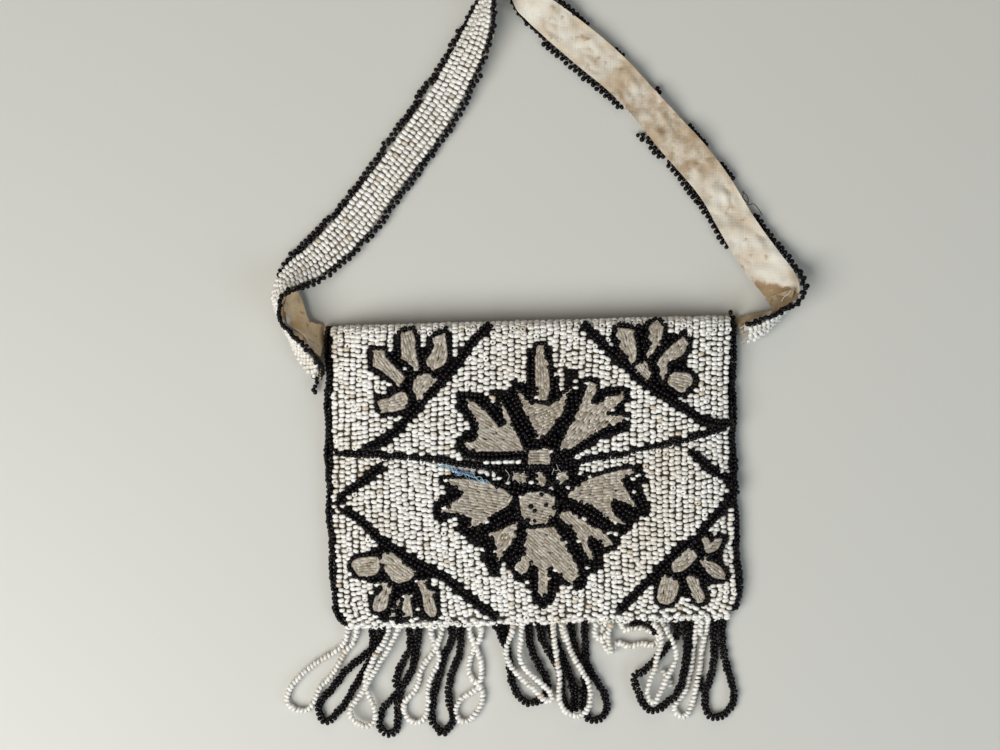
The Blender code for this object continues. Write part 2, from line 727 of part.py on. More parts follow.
def make_fringe(name, pixels, layer, finish, carrier):
    """One loop of strung beads, from the hem down to the table and back."""
    turned = [upright(pixel) for pixel in pixels]
    hem = upright((PICTURE_MIDDLE[0], PICTURE_HEM)).y
    tips = upright((PICTURE_MIDDLE[0], PICTURE_TIPS)).y
    rest = STRAND_LIFT + STRAND_RADIUS + layer * (2 * STRAND_RADIUS + GAP)
    xs = [spot.x / PICTURE_BODY[0] * BODY_WIDTH for spot in turned]
    points = []
    for x, spot in list(zip(xs, turned))[1:-1]:
        down = min(-STRAND_RADIUS, (spot.y - hem) / (hem - tips) * FRINGE_LENGTH)
        points.append(Vector((x, FRINGE_PLACE.y + down, rest)))
    tops = [Vector((x, FRINGE_PLACE.y, HEM_MIDDLE)) for x in (xs[0], xs[-1])]
    neck = Vector((0, -STRAND_RADIUS, 0))
    points = [tops[0] + neck, *points, tops[1] + neck]
    length = sum((b - a).length for a, b in zip(points, points[1:]))
    line = smooth_line(points, max(LEAST_STRAND_POINTS, round(length / STRAND_STEP)))
    tube(name, [tops[0], *line, tops[1]], STRAND_RADIUS, finish, carrier)


def main():
    clear_scene()
    white = material("white_beads", (0.83, 0.80, 0.74), 0.35)
    black = material("black_beads", (0.012, 0.011, 0.012), 0.22)
    clear = material("clear_beads", (0.46, 0.43, 0.38), 0.20)
    cloth = material("ground_cloth", (0.62, 0.57, 0.48), 0.9)
    silk = material("silk_lining", (0.72, 0.62, 0.46), 0.6)
    thread = material("sewing_thread", (0.70, 0.64, 0.54), 0.85)

    body = home("pocket", Vector((0, 0, 0)))
    flap = home("flap_fold", HINGE_PLACE)
    stations = strap_stations()
    strap = home("strap_swing", (stations[0][0] + stations[-1][0]) / 2)
    fringe = [home("fringe_swing_" + name, FRINGE_PLACE) for name in CLUSTER_NAMES]

    level = 0.0
    for name, thick, finish in (
        ("back_beadwork", BEAD_LAYER, white), ("back_cloth", CLOTH, cloth), ("lining_back", LINING, silk),
    ):
        pocket_layer(name, level, level + thick, finish, body, False)
        level += thick + GAP
    level = 0.0
    for name, thick, finish in (
        ("front_beadwork", BEAD_LAYER, white), ("front_cloth", CLOTH, cloth), ("lining_front", LINING, silk),
    ):
        pocket_layer(name, level - thick, level, finish, body, True)
        level -= thick + GAP
    level = GAP
    for name, thick, finish in (
        ("flap_lining", LINING, silk), ("flap_cloth", CLOTH, cloth), ("flap_beadwork", BEAD_LAYER, white),
    ):
        flap_layer(name, level, level + thick, finish, flap)
        level += thick + GAP

    side_edging("edging_left", -1, black, body)
    side_edging("edging_right", 1, black, body)
    hem_row("hem_row", white, body)
    flap_edging("flap_edge_beads", black, flap)

    front = (front_raised_grid(GAP), front_raised_grid(GAP + RAISED_BEADS))
    over = (flap_raised_grid(level), flap_raised_grid(level + RAISED_BEADS))
    for name, pixels, grids, carrier in (
        ("lozenge_upper_left", UPPER_LEFT_PIXELS, over, flap),
        ("lozenge_upper_right", UPPER_RIGHT_PIXELS, over, flap),
        ("lozenge_lower_left", LOWER_LEFT_PIXELS, front, body),
        ("lozenge_lower_right", LOWER_RIGHT_PIXELS, front, body),
    ):
        raised(name, *grids, strip_outline(pixels, LINE_WIDTH), black, carrier)
    for name, shape, grids, line, carrier in (
        ("rosette_upper", UPPER_ROSETTE_PIXELS, over, None, flap),
        ("rosette_lower", LOWER_ROSETTE_PIXELS, front, None, body),
        ("palmette_upper_left", UPPER_LEFT_PALMETTE_PIXELS, over, UPPER_LEFT_PIXELS, flap),
        ("palmette_upper_right", UPPER_RIGHT_PALMETTE_PIXELS, over, UPPER_RIGHT_PIXELS, flap),
        ("palmette_lower_left", LOWER_LEFT_PALMETTE_PIXELS, front, LOWER_LEFT_PIXELS, body),
        ("palmette_lower_right", LOWER_RIGHT_PALMETTE_PIXELS, front, LOWER_RIGHT_PIXELS, body),
    ):
        motif(name, shape, grids, line, black, clear, carrier)

    half = STRAP_WIDTH / 2 - 2 * STRAP_EDGE_RADIUS - GAP
    under = -STRAP_BAND / 2
    strap_band("strap_lining", stations, under, under + LINING, half, silk, strap)
    strap_band("strap_beadwork", stations, under + LINING + GAP, STRAP_BAND / 2, half, white, strap)
    strap_edge("strap_edge_inner", stations, 1, black, strap)
    strap_edge("strap_edge_outer", stations, -1, black, strap)
    stitching("strap_stitching_left", -1, stations[0], thread, body)
    stitching("strap_stitching_right", 1, stations[-1], thread, body)

    for k, (colour, layer, pixels) in enumerate(FRINGE_LOOP_PIXELS):
        cluster = next(c for c, end in enumerate(CLUSTER_ENDS) if k < end)
        finish = white if colour == "white" else black
        make_fringe(f"fringe_loop_{k + 1:02d}", pixels, layer, finish, fringe[cluster])


main()
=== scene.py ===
import math

import bpy
import numpy as np
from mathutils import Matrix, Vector


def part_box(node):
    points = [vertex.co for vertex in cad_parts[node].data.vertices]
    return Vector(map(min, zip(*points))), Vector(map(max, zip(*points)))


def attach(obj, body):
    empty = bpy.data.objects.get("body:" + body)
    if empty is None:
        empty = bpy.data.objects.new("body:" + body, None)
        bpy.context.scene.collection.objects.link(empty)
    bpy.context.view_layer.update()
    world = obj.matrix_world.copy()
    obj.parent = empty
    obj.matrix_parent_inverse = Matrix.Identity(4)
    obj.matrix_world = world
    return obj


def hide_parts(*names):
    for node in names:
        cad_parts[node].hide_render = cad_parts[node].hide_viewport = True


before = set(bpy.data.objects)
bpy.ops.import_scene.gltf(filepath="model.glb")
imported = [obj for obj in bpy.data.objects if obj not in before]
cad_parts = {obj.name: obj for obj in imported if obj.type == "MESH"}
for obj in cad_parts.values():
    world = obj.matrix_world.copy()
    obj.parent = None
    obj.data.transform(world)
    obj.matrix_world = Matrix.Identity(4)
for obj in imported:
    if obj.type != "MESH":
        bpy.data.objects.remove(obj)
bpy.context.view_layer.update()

# Beaded evening purse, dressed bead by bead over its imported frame. It lies on its back on a pale table, and is seen
# from straight above. Metres; X across the purse, Y up towards the strap, Z out of the front.

# Camera: the photograph covers this width of table, and the purse lies turned in it by this much
SEEN_WIDTH = 0.340
SEEN_MIDDLE = (-0.0109, 0.0329)
CAMERA_RISE = 0.90
PURSE_TURN = math.radians(1.5)

camera_data = bpy.data.cameras.new("camera")
camera_data.sensor_width = 36.0
camera_data.lens = 36.0 * CAMERA_RISE / SEEN_WIDTH
camera = bpy.data.objects.new("camera", camera_data)
bpy.context.collection.objects.link(camera)
camera.location = (*SEEN_MIDDLE, CAMERA_RISE)
camera.rotation_euler = (0, 0, -PURSE_TURN)
bpy.context.scene.camera = camera
bpy.context.scene.view_settings.view_transform = "Standard"

rng = np.random.default_rng(1908)

# The frame's own sizes
PIXEL = 0.1406 / 413.5
HALF_WIDTH = 0.0666
BOTTOM = -0.0487
TOP = 0.0479
HEIGHT = TOP - BOTTOM
CROWN = 0.0052
LAYERS = 0.0028
FRONT_REST = 2 * LAYERS + 0.0003
FOLD_RADIUS = 0.0022
HINGE_HEIGHT = 0.0031
FLAP_LIFT = 0.0031
EDGE_TUBE = 0.0014
HEM_LINE = -0.0513
HEM_MIDDLE = 0.00295
STRAP_WIDTH = 0.0145
STRAP_BAND = 0.0021
STRAP_REACH = 0.0084
STRAP_OFF_SEAM = 0.0037 + 0.0016
STRAP_COLUMN_STEP = 0.00226

# Beads: radius across, length along the hole, and how they are spaced
WHITE_ACROSS = 0.00116
WHITE_LONG = 0.00140
COLUMN_STEP = 0.00213
ROW_STEP = 0.00163
BLACK_ACROSS = 0.00087
BLACK_LONG = 0.00134
BLACK_STEP = 0.00143
WHITE_ROOM = np.array((0.00140, 0.00112))
STRUNG_BLACK = (0.00082, 0.00134, 0.00082)
DISC_ACROSS = 0.00114
DISC_LONG = 0.00128
DISC_STEP = 0.00136
DISC_SLANT = math.radians(24)
BLACK_ROUND = (BLACK_ACROSS, BLACK_LONG, BLACK_ACROSS)
BLACK_ON_PATTERN = (BLACK_ACROSS, BLACK_LONG, 0.00084)
BLACK_ROOM = 0.00122
BLACK_LINE_STEP = 0.00155
WHITE_SINK = 0.00082
ROD_ROW_STEP = 0.00095
ROD_PROBE = 0.0002
SHORTEST_ROD = 0.0010
PAIR_APART = 0.00062
PAIR_RISE = 0.00030
THREAD_STEP = 0.0004
LOOP_THREAD_STEP = 0.0012

# Places in the photograph, in its pixels, and the lengths that they stand for on the purse
MIDDLE_PIXEL = (534.5, 471.0)
STRAP_TOP_PIXEL = -20.0
STRAP_END_PIXEL = 356.0
STRAP_RISE = 0.129
HEM_PIXEL = 621.0
TIP_PIXEL = 727.0
FRINGE_LENGTH = 0.036


def upright(pixel):
    """A place in the photograph, from the purse's middle, with the purse's slight turn taken out, in pixels."""
    p = np.asarray(pixel, float)
    across, up = p[..., 0] - MIDDLE_PIXEL[0], MIDDLE_PIXEL[1] - p[..., 1]
    c, s = math.cos(PURSE_TURN), math.sin(PURSE_TURN)
    return np.stack([across * c + up * s, up * c - across * s], -1)


def on_body(pixel):
    return upright(pixel) * PIXEL


def unit(rows):
    return rows / np.maximum(np.linalg.norm(rows, axis=-1, keepdims=True), 1e-12)


# Surfaces: a place (x, t) on each gives a point, t running up the purse


def sway(v):
    return -0.0012 * np.sin(np.pi * np.clip(v, 0, 1))


def half_width(v):
    return HALF_WIDTH - 0.0022 * np.maximum(0, 1 - v / 0.07) ** 2


def across_share(x, v):
    return np.clip((x - sway(v)) / half_width(v), -1, 1)


def front_height(u, v):
    closed = 1 - np.clip(v, 0, 1)
    return FRONT_REST + CROWN * (1 - np.abs(u) ** 8) * (1 - closed**8)


def front_surface(x, t):
    v = (t - BOTTOM) / HEIGHT
    return np.stack([x, t, front_height(across_share(x, v), v)], -1)


def back_surface(x, t):
    return np.stack([x, t, np.zeros_like(x)], -1)


FLAP_EDGE_PIXELS = (
    (334, 455), (352, 456), (400, 458), (439, 461), (474, 467), (506, 471), (530, 472),
    (560, 469), (587, 462), (627, 455), (649, 448), (682, 443), (716, 433), (736, 426),
)
FLAP_EDGE = on_body(FLAP_EDGE_PIXELS)
FOLD_START = TOP - FOLD_RADIUS
MOUTH = TOP - FOLD_RADIUS


def flap_edge_y(x):
    return np.interp(x, FLAP_EDGE[:, 0], FLAP_EDGE[:, 1])


def flap_end(u, lift=FLAP_LIFT):
    """How far up and round the fold the flap runs before it meets its hinge."""
    return FOLD_START + (FOLD_RADIUS + lift) * math.pi / 2 + front_height(u, 1) - FOLD_RADIUS - HINGE_HEIGHT


def flap_surface(x, t, lift=FLAP_LIFT):
    """Up the flap, then round its fold and down behind it to the hinge."""
    v = (np.minimum(t, FOLD_START) - BOTTOM) / HEIGHT
    u = across_share(x, v)
    run = FOLD_RADIUS + lift
    past = np.maximum(t - FOLD_START, 0) / run
    turn = np.minimum(past, math.pi / 2)
    down = (past - turn) * run
    top = front_height(u, np.where(t > FOLD_START, 1, v))
    y = np.where(t > FOLD_START, FOLD_START + run * np.sin(turn), t)
    z = np.where(t > FOLD_START, top - FOLD_RADIUS + run * np.cos(turn) - down, top + lift)
    return np.stack([x, y, z], -1)


def frames_on(surface, x, t, angle):
    """Points on a surface, with each bead's hole direction, side and outward direction. Angle 0 runs up the purse."""
    e = 0.0004
    up = unit(surface(x, t + e) - surface(x, t - e))
    out = unit(np.cross(surface(x + e, t) - surface(x - e, t), up))
    side = np.cross(up, out)
    c, s = np.cos(angle)[:, None], np.sin(angle)[:, None]
    along = up * c - side * s
    return surface(x, t), along, np.cross(along, out), out


# Beads as rings: a rounded outside and a hole along Y


def bead_shape(sides, profile):
    """A unit bead: radius 1 across X and Z, length 1 along Y, with its hole open."""
    turn = np.arange(sides) * 2 * np.pi / sides
    r, y = np.array(profile).T
    points = np.stack([
        r[:, None] * np.cos(turn), np.repeat(y[:, None], sides, 1), r[:, None] * np.sin(turn)
    ], -1).reshape(-1, 3)
    k = np.arange(len(profile))[:, None] * sides
    n = np.roll(np.arange(len(profile)), -1)[:, None] * sides
    i, j = np.arange(sides), np.roll(np.arange(sides), -1)
    faces = np.stack([k + i, k + j, n + j, n + i], -1).reshape(-1, 4)
    return points, faces


ROUND_PROFILE = (
    (0.98, 0.14), (0.87, 0.31), (0.68, 0.44), (0.47, 0.50), (0.33, 0.42),
    (0.33, -0.42), (0.47, -0.50), (0.68, -0.44), (0.87, -0.31), (0.98, -0.14),
)
PLAIN_PROFILE = ((1, 0.15), (0.76, 0.42), (0.42, 0.42), (0.42, -0.42), (0.76, -0.42), (1, -0.15))
ROD_PROFILE = ((1, 0.47), (0.45, 0.5), (0.45, -0.5), (1, -0.47))
FINE_BEAD = bead_shape(12, ROUND_PROFILE)
PLAIN_BEAD = bead_shape(10, PLAIN_PROFILE)
ROD = bead_shape(8, ROD_PROFILE)


def mesh_object(name, points, faces, tint, finish):
    mesh = bpy.data.meshes.new(name)
    mesh.vertices.add(len(points))
    mesh.vertices.foreach_set("co", points.astype(np.float32).ravel())
    mesh.loops.add(faces.size)
    mesh.loops.foreach_set("vertex_index", faces.astype(np.int32).ravel())
    mesh.polygons.add(len(faces))
    mesh.polygons.foreach_set("loop_start", np.arange(0, faces.size, faces.shape[1], dtype=np.int32))
    mesh.update(calc_edges=True)
    mesh.validate()
    mesh.shade_smooth()
    if tint is not None:
        layer = mesh.attributes.new("tint", "FLOAT_COLOR", "POINT")
        layer.data.foreach_set("color", tint.astype(np.float32).ravel())
    mesh.materials.append(finish)
    made = bpy.data.objects.new(name, mesh)
    bpy.context.collection.objects.link(made)
    return made


class Beads:
    """Beads gathered for one piece: centre, hole direction, side, outward direction, and the bead's three sizes."""

    def __init__(self):
        self.rows = []

    def add(self, centre, along, side, out, sizes):
        sizes = np.broadcast_to(sizes, centre.shape)
        self.rows.append(np.concatenate([centre, along, side, out, sizes], 1))

    def build(self, name, shape, finish, body, slot, nodes=(), most=800):
        """Makes the piece, in several objects if it has very many beads."""
        rows = np.concatenate(self.rows)
        points, faces = shape
        bunches = np.array_split(rows, max(1, math.ceil(len(rows) / most)))
        made = []
        for k, bunch in enumerate(bunches):
            c, a, s, o, z = (bunch[:, i:i + 3][:, None, :] for i in range(0, 15, 3))
            p = points[None]
            placed = c + s * p[..., 0:1] * z[..., 0:1] + a * p[..., 1:2] * z[..., 1:2] + o * p[..., 2:3] * z[..., 2:3]
            n = len(bunch)
            index = faces[None] + (np.arange(n) * len(points))[:, None, None]
            tint = np.repeat(rng.random((n, 1, 4)), len(points), 1)
            label = name if len(bunches) == 1 else f"{name}_{k + 1}"
            piece = mesh_object(label, placed.reshape(-1, 3), index.reshape(-1, 4), tint.reshape(-1, 4), finish)
            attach(piece, body)
            if nodes:
                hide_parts(*nodes)
            made.append(piece)
        return made


def wobble(along, side, out, most):
    """Tips each bead a little, as hand-sewn beads sit."""
    n = len(along)
    a = unit(along + side * rng.normal(0, most, (n, 1)) + out * rng.normal(0, most, (n, 1)))
    o = unit(out - a * (out * a).sum(1, keepdims=True))
    return a, np.cross(a, o), o


# Materials


def new_material(name, colour, roughness, **more):
    made = bpy.data.materials.new(name)
    made.use_nodes = True
    shader = made.node_tree.nodes["Principled BSDF"]
    shader.inputs["Base Color"].default_value = (*colour, 1)
    shader.inputs["Roughness"].default_value = roughness
    for key, value in more.items():
        shader.inputs[key.replace("_", " ")].default_value = value
    made.diffuse_color = (*colour, 1)
    return made


def start_group(name, colours, values, results):
    """An empty shader node group with its named inputs and outputs."""
    group = bpy.data.node_groups.new(name, "ShaderNodeTree")
    face = group.interface
    for label in colours:
        face.new_socket(name=label, in_out="INPUT", socket_type="NodeSocketColor")
    for label in values:
        face.new_socket(name=label, in_out="INPUT", socket_type="NodeSocketFloat")
    for label, kind in results:
        face.new_socket(name=label, in_out="OUTPUT", socket_type=kind)
    return group, group.nodes.new("NodeGroupInput"), group.nodes.new("NodeGroupOutput")


def maths(group, operation, first, second):
    """One sum of two values, each a socket or a number."""
    node = group.nodes.new("ShaderNodeMath")
    node.operation = operation
    for k, value in enumerate((first, second)):
        if isinstance(value, (int, float)):
            node.inputs[k].default_value = value
        else:
            group.links.new(value, node.inputs[k])
    return node.outputs[0]


def mixed(group, share, first, second):
    node = group.nodes.new("ShaderNodeMix")
    node.data_type = "RGBA"
    group.links.new(share, node.inputs["Factor"])
    group.links.new(first, node.inputs["A"])
    group.links.new(second, node.inputs["B"])
    return node.outputs["Result"]


def cloud(group, scale, detail, low, high):
    """Soft patches over the object, from 0 to 1."""
    place = group.nodes.new("ShaderNodeTexCoord")
    noise = group.nodes.new("ShaderNodeTexNoise")
    noise.inputs["Detail"].default_value = detail
    group.links.new(place.outputs["Object"], noise.inputs["Vector"])
    if isinstance(scale, (int, float)):
        noise.inputs["Scale"].default_value = scale
    else:
        group.links.new(scale, noise.inputs["Scale"])
    spread = group.nodes.new("ShaderNodeMapRange")
    spread.inputs["From Min"].default_value = low
    spread.inputs["From Max"].default_value = high
    group.links.new(noise.outputs["Fac"], spread.inputs["Value"])
    return spread.outputs["Result"]


def bead_colour_group():
    """Each bead's own shade: between two colours, with some beads stained and broad soiled patches."""
    group, start, end = start_group(
        "bead_colour", ("Light", "Dark", "Stain"), ("Stained share", "Soiling"), (("Colour", "NodeSocketColor"),)
    )
    tint = group.nodes.new("ShaderNodeAttribute")
    tint.attribute_name = "tint"
    split = group.nodes.new("ShaderNodeSeparateColor")
    group.links.new(tint.outputs["Color"], split.inputs["Color"])
    shade = mixed(group, split.outputs["Red"], start.outputs["Light"], start.outputs["Dark"])
    few = maths(group, "LESS_THAN", split.outputs["Green"], start.outputs["Stained share"])
    patch = maths(group, "MULTIPLY", cloud(group, 38, 2, 0.52, 0.75), start.outputs["Soiling"])
    both = maths(group, "MAXIMUM", maths(group, "MULTIPLY", few, 0.7), patch)
    group.links.new(mixed(group, both, shade, start.outputs["Stain"]), end.inputs["Colour"])
    return group


def weave_group():
    """Threads crossing at right angles, as a height, with patches of a second and a third colour."""
    group, start, end = start_group(
        "weave", ("Light", "Dark", "Stain"), ("Threads", "Patches"),
        (("Colour", "NodeSocketColor"), ("Height", "NodeSocketFloat")),
    )
    place = group.nodes.new("ShaderNodeTexCoord")
    waves = []
    for direction in ("X", "Y"):
        wave = group.nodes.new("ShaderNodeTexWave")
        wave.bands_direction = direction
        wave.inputs["Distortion"].default_value = 1.6
        wave.inputs["Detail"].default_value = 1
        group.links.new(place.outputs["Object"], wave.inputs["Vector"])
        group.links.new(start.outputs["Threads"], wave.inputs["Scale"])
        waves.append(wave.outputs["Fac"])
    group.links.new(maths(group, "MAXIMUM", *waves), end.inputs["Height"])
    shade = mixed(
        group, cloud(group, start.outputs["Patches"], 4, 0.38, 0.66), start.outputs["Light"], start.outputs["Dark"]
    )
    spots = cloud(group, maths(group, "MULTIPLY", start.outputs["Patches"], 2.7), 3, 0.60, 0.74)
    stained = mixed(group, spots, shade, start.outputs["Stain"])
    # Painted shade and wear: the ribbon's browning is wear, except in its lower fold, where it is painted shade
    wear_and_shade_attribute = group.nodes.new("ShaderNodeAttribute")
    wear_and_shade_attribute.attribute_name = "wear_and_painted_shade"
    uneven = maths(group, "ADD", cloud(group, 260, 3, 0.36, 0.64), 0.35)
    wear_and_painted_shade = maths(group, "MULTIPLY", wear_and_shade_attribute.outputs["Fac"], uneven)
    # Painted shade: near black close to the black beads, standing for the shade in the gaps between them
    blackened = group.nodes.new("ShaderNodeAttribute")
    blackened.attribute_name = "painted_shade_under_black_beads"
    under = group.nodes.new("ShaderNodeMix")
    under.data_type = "RGBA"
    group.links.new(blackened.outputs["Fac"], under.inputs["Factor"])
    group.links.new(mixed(group, wear_and_painted_shade, stained, start.outputs["Stain"]), under.inputs["A"])
    under.inputs["B"].default_value = (0.004, 0.003, 0.003, 1)
    group.links.new(under.outputs["Result"], end.inputs["Colour"])
    return group


def thread_group():
    """A twisted thread: fine patches of its darker colour, painted shade between its plies."""
    group, start, end = start_group("thread", ("Light", "Dark"), (), (("Colour", "NodeSocketColor"),))
    group.links.new(
        mixed(group, cloud(group, 2600, 2, 0.35, 0.65), start.outputs["Light"], start.outputs["Dark"]),
        end.inputs["Colour"],
    )
    return group


BEAD_COLOUR = bead_colour_group()
WEAVE = weave_group()
THREAD = thread_group()


def grouped(name, group, colours, values, roughness, **more):
    """A material whose colour comes from a node group."""
    made = new_material(name, colours[0], roughness, **more)
    tree = made.node_tree
    use = tree.nodes.new("ShaderNodeGroup")
    use.node_tree = group
    for k, colour in enumerate(colours):
        use.inputs[k].default_value = (*colour, 1)
    for k, value in enumerate(values):
        use.inputs[len(colours) + k].default_value = value
    tree.links.new(use.outputs["Colour"], tree.nodes["Principled BSDF"].inputs["Base Color"])
    return made, use


def bead_material(name, light, dark, stain, stained, soiling, roughness, **more):
    return grouped(name, BEAD_COLOUR, (light, dark, stain), (stained, soiling), roughness, **more)[0]


def cloth_material(name, light, dark, stain, threads, patches, roughness, bump, **more):
    made, use = grouped(name, WEAVE, (light, dark, stain), (threads, patches), roughness, **more)
    tree = made.node_tree
    rise = tree.nodes.new("ShaderNodeBump")
    rise.inputs["Strength"].default_value = bump
    rise.inputs["Distance"].default_value = 0.00012
    tree.links.new(use.outputs["Height"], rise.inputs["Height"])
    tree.links.new(rise.outputs["Normal"], tree.nodes["Principled BSDF"].inputs["Normal"])
    return made


def thread_material(name, light, dark):
    return grouped(name, THREAD, (light, dark), (), 0.8)[0]


white_glass = bead_material(
    "white_glass", (0.86, 0.84, 0.81), (0.69, 0.66, 0.61), (0.50, 0.39, 0.25), 0.02, 0.30, 0.22,
    Coat_Weight=0.5, Coat_Roughness=0.07,
)
black_glass = bead_material(
    "black_glass", (0.002, 0.0015, 0.002), (0.005, 0.003, 0.004), (0.016, 0.009, 0.006), 0.03, 0.1, 0.10,
    Specular_IOR_Level=0.17,
)
clear_glass = bead_material(
    "clear_glass", (0.58, 0.52, 0.44), (0.37, 0.32, 0.26), (0.32, 0.25, 0.16), 0.10, 0.35, 0.14,
    Transmission_Weight=0.25, IOR=1.5,
)
# Painted shade: the ground cloth shows only in gaps between beads, so it is made much darker than beige
shaded_beige_cloth = cloth_material(
    "shaded_beige_cloth", (0.15, 0.12, 0.085), (0.10, 0.08, 0.055), (0.07, 0.05, 0.03), 700, 60, 0.9, 0.5,
)
cream_silk = cloth_material(
    "cream_silk", (0.64, 0.58, 0.46), (0.52, 0.42, 0.29), (0.36, 0.25, 0.14), 900, 60, 0.45, 0.25, Sheen_Weight=0.2,
)
stained_silk = cloth_material(
    "stained_silk", (0.72, 0.68, 0.60), (0.55, 0.445, 0.32), (0.34, 0.23, 0.125), 620, 95, 0.7, 0.9,
)
# One yellowed silk in two copies: lighter for the left flare, as painted light; darker for the right, as painted shade
lit_lining_silk = cloth_material(
    "lit_lining_silk", (0.92, 0.68, 0.42), (0.74, 0.52, 0.28), (0.46, 0.29, 0.13), 620, 150, 0.7, 0.9,
)
shaded_lining_silk = cloth_material(
    "shaded_lining_silk", (0.42, 0.34, 0.22), (0.30, 0.22, 0.125), (0.18, 0.11, 0.05), 620, 150, 0.7, 0.9,
)
sewing_thread = thread_material("sewing_thread", (0.60, 0.52, 0.40), (0.34, 0.27, 0.18))
pale_thread = thread_material("pale_thread", (0.62, 0.60, 0.56), (0.36, 0.34, 0.31))
blue_thread = thread_material("blue_thread", (0.015, 0.13, 0.34), (0.008, 0.05, 0.13))
faded_blue_thread = thread_material("faded_blue_thread", (0.40, 0.56, 0.68), (0.20, 0.34, 0.46))
brown_thread = thread_material("brown_thread", (0.06, 0.035, 0.022), (0.02, 0.01, 0.006))


# Flat work: which places the pattern takes, from outlines in the photograph's pixels


def inside(points, outline):
    """Which points lie inside a closed outline."""
    poly = np.asarray(outline, float)
    x, y = points[:, 0], points[:, 1]
    hit = np.zeros(len(points), bool)
    for (x0, y0), (x1, y1) in zip(poly, np.roll(poly, -1, 0)):
        crosses = (y0 > y) != (y1 > y)
        if crosses.any():
            with np.errstate(divide="ignore", invalid="ignore"):
                at = x0 + (y - y0) * (x1 - x0) / (y1 - y0)
            hit ^= crosses & (x < at)
    return hit


def grown(outline, by):
    """A closed outline moved outward by a distance."""
    p = np.asarray(outline, float)
    area = np.sum(p[:, 0] * np.roll(p[:, 1], -1) - np.roll(p[:, 0], -1) * p[:, 1])
    d = np.roll(p, -1, 0) - p
    n = np.stack([d[:, 1], -d[:, 0]], 1) * (1 if area > 0 else -1)
    n = unit(n)
    m = n + np.roll(n, 1, 0)
    m /= np.maximum(np.linalg.norm(m, axis=1, keepdims=True), 0.6)
    return p + m * by


def stepped(line, step, closed=False, offset=0.0):
    """Places along a line at an even step, moved to its left, with the line's direction there."""
    p = np.asarray(line, float)
    if closed:
        p = np.concatenate([p, p[:1]])
    d = np.diff(p, axis=0)
    run = np.concatenate([[0], np.cumsum(np.linalg.norm(d, axis=1))])
    count = max(1, round(run[-1] / step))
    at = (np.arange(count) + 0.5) * run[-1] / count
    k = np.clip(np.searchsorted(run, at) - 1, 0, len(d) - 1)
    share = ((at - run[k]) / np.maximum(run[k + 1] - run[k], 1e-9))[:, None]
    way = unit(d[k])
    left = np.stack([-way[:, 1], way[:, 0]], 1)
    return p[k] + d[k] * share + left * offset, way


def off_outline(points, outline):
    """How far each point lies from the nearest side of a closed outline."""
    start = np.asarray(outline, float)
    side = np.roll(start, -1, 0) - start
    gap = points[:, None] - start
    share = np.clip((gap * side).sum(2) / np.maximum((side * side).sum(1), 1e-12), 0, 1)
    return np.linalg.norm(gap - side * share[..., None], axis=2).min(1)


class Pattern:
    """The black beads of the front or of the flap, in metres, put down one after another without overlap."""

    def __init__(self, petals):
        self.petals = [on_body(p) for p in petals]
        self.spots = np.zeros((0, 2))
        self.ways = np.zeros((0, 2))

    def free(self, spots):
        ok = np.ones(len(spots), bool)
        for petal in self.petals:
            ok &= ~inside(spots, petal)
        return ok

    def put(self, spots, ways):
        keep = self.free(spots)
        for spot, way in zip(spots[keep], ways[keep]):
            if len(self.spots) and np.min(np.linalg.norm(self.spots - spot, axis=1)) < BLACK_ROOM:
                continue
            self.spots = np.vstack([self.spots, spot])
            self.ways = np.vstack([self.ways, way])

    def row(self, pixels, rows=1, closed=False):
        line = on_body(pixels)
        for k in range(rows):
            offset = (k - (rows - 1) / 2) * BLACK_LINE_STEP
            self.put(*stepped(line, BLACK_STEP, closed, offset))

    def fill(self, petals, ground=None):
        """Fills in close round the petals, and wholly between them, with beads turned as their neighbours are."""
        shapes = [on_body(p) for p in petals]
        corners = np.concatenate(shapes)
        low, high = corners.min(0) - 8 * PIXEL, corners.max(0) + 8 * PIXEL
        tries = low + (high - low) * rng.random((9000, 2))
        if ground is not None:
            tries = tries[inside(tries, on_body(ground))]
        off = np.sort([off_outline(tries, shape) for shape in shapes], axis=0) / PIXEL
        tries = tries[(off[0] < 5.2) | ((off[0] < 7.5) & (off[1] < 10.5))]
        for spot in tries[self.free(tries)]:
            gap = np.linalg.norm(self.spots - spot, axis=1)
            if gap.min() < BLACK_ROOM:
                continue
            self.spots = np.vstack([self.spots, spot])
            self.ways = np.vstack([self.ways, self.ways[gap.argmin()]])


UPPER_ROSETTE = (
    ((536, 346), (543, 346), (544, 356), (548, 364), (549, 386), (546, 400), (538, 400), (535, 386), (535, 364)),
    ((515.8, 389), (524, 396), (530, 403), (537, 403), (549.4, 405.8), (560, 397), (572, 385), (567, 393),
     (563.5, 408.6), (559.3, 415.6), (543.8, 435), (536.8, 438), (529.8, 420), (522.8, 408.6)),
    ((466.7, 398.8), (475, 401.6), (486, 411), (499, 427), (507, 424), (503, 412), (500.3, 401.6), (507, 412),
     (513, 425.4), (524.2, 450.7), (496, 450), (468, 449), (465.3, 441), (473.7, 442), (479.3, 428), (473, 415)),
    ((558, 448), (577.5, 408.6), (585, 390), (588, 382), (594, 384), (594, 392), (588.7, 403), (596, 403), (608, 397),
     (621, 394), (622, 399), (611, 407), (605.6, 413), (614, 414), (623, 416), (621, 420), (605.6, 425.4),
     (594.3, 432.4), (572, 447)),
    ((528, 449), (549.5, 449), (549.5, 463), (528, 463)),
)
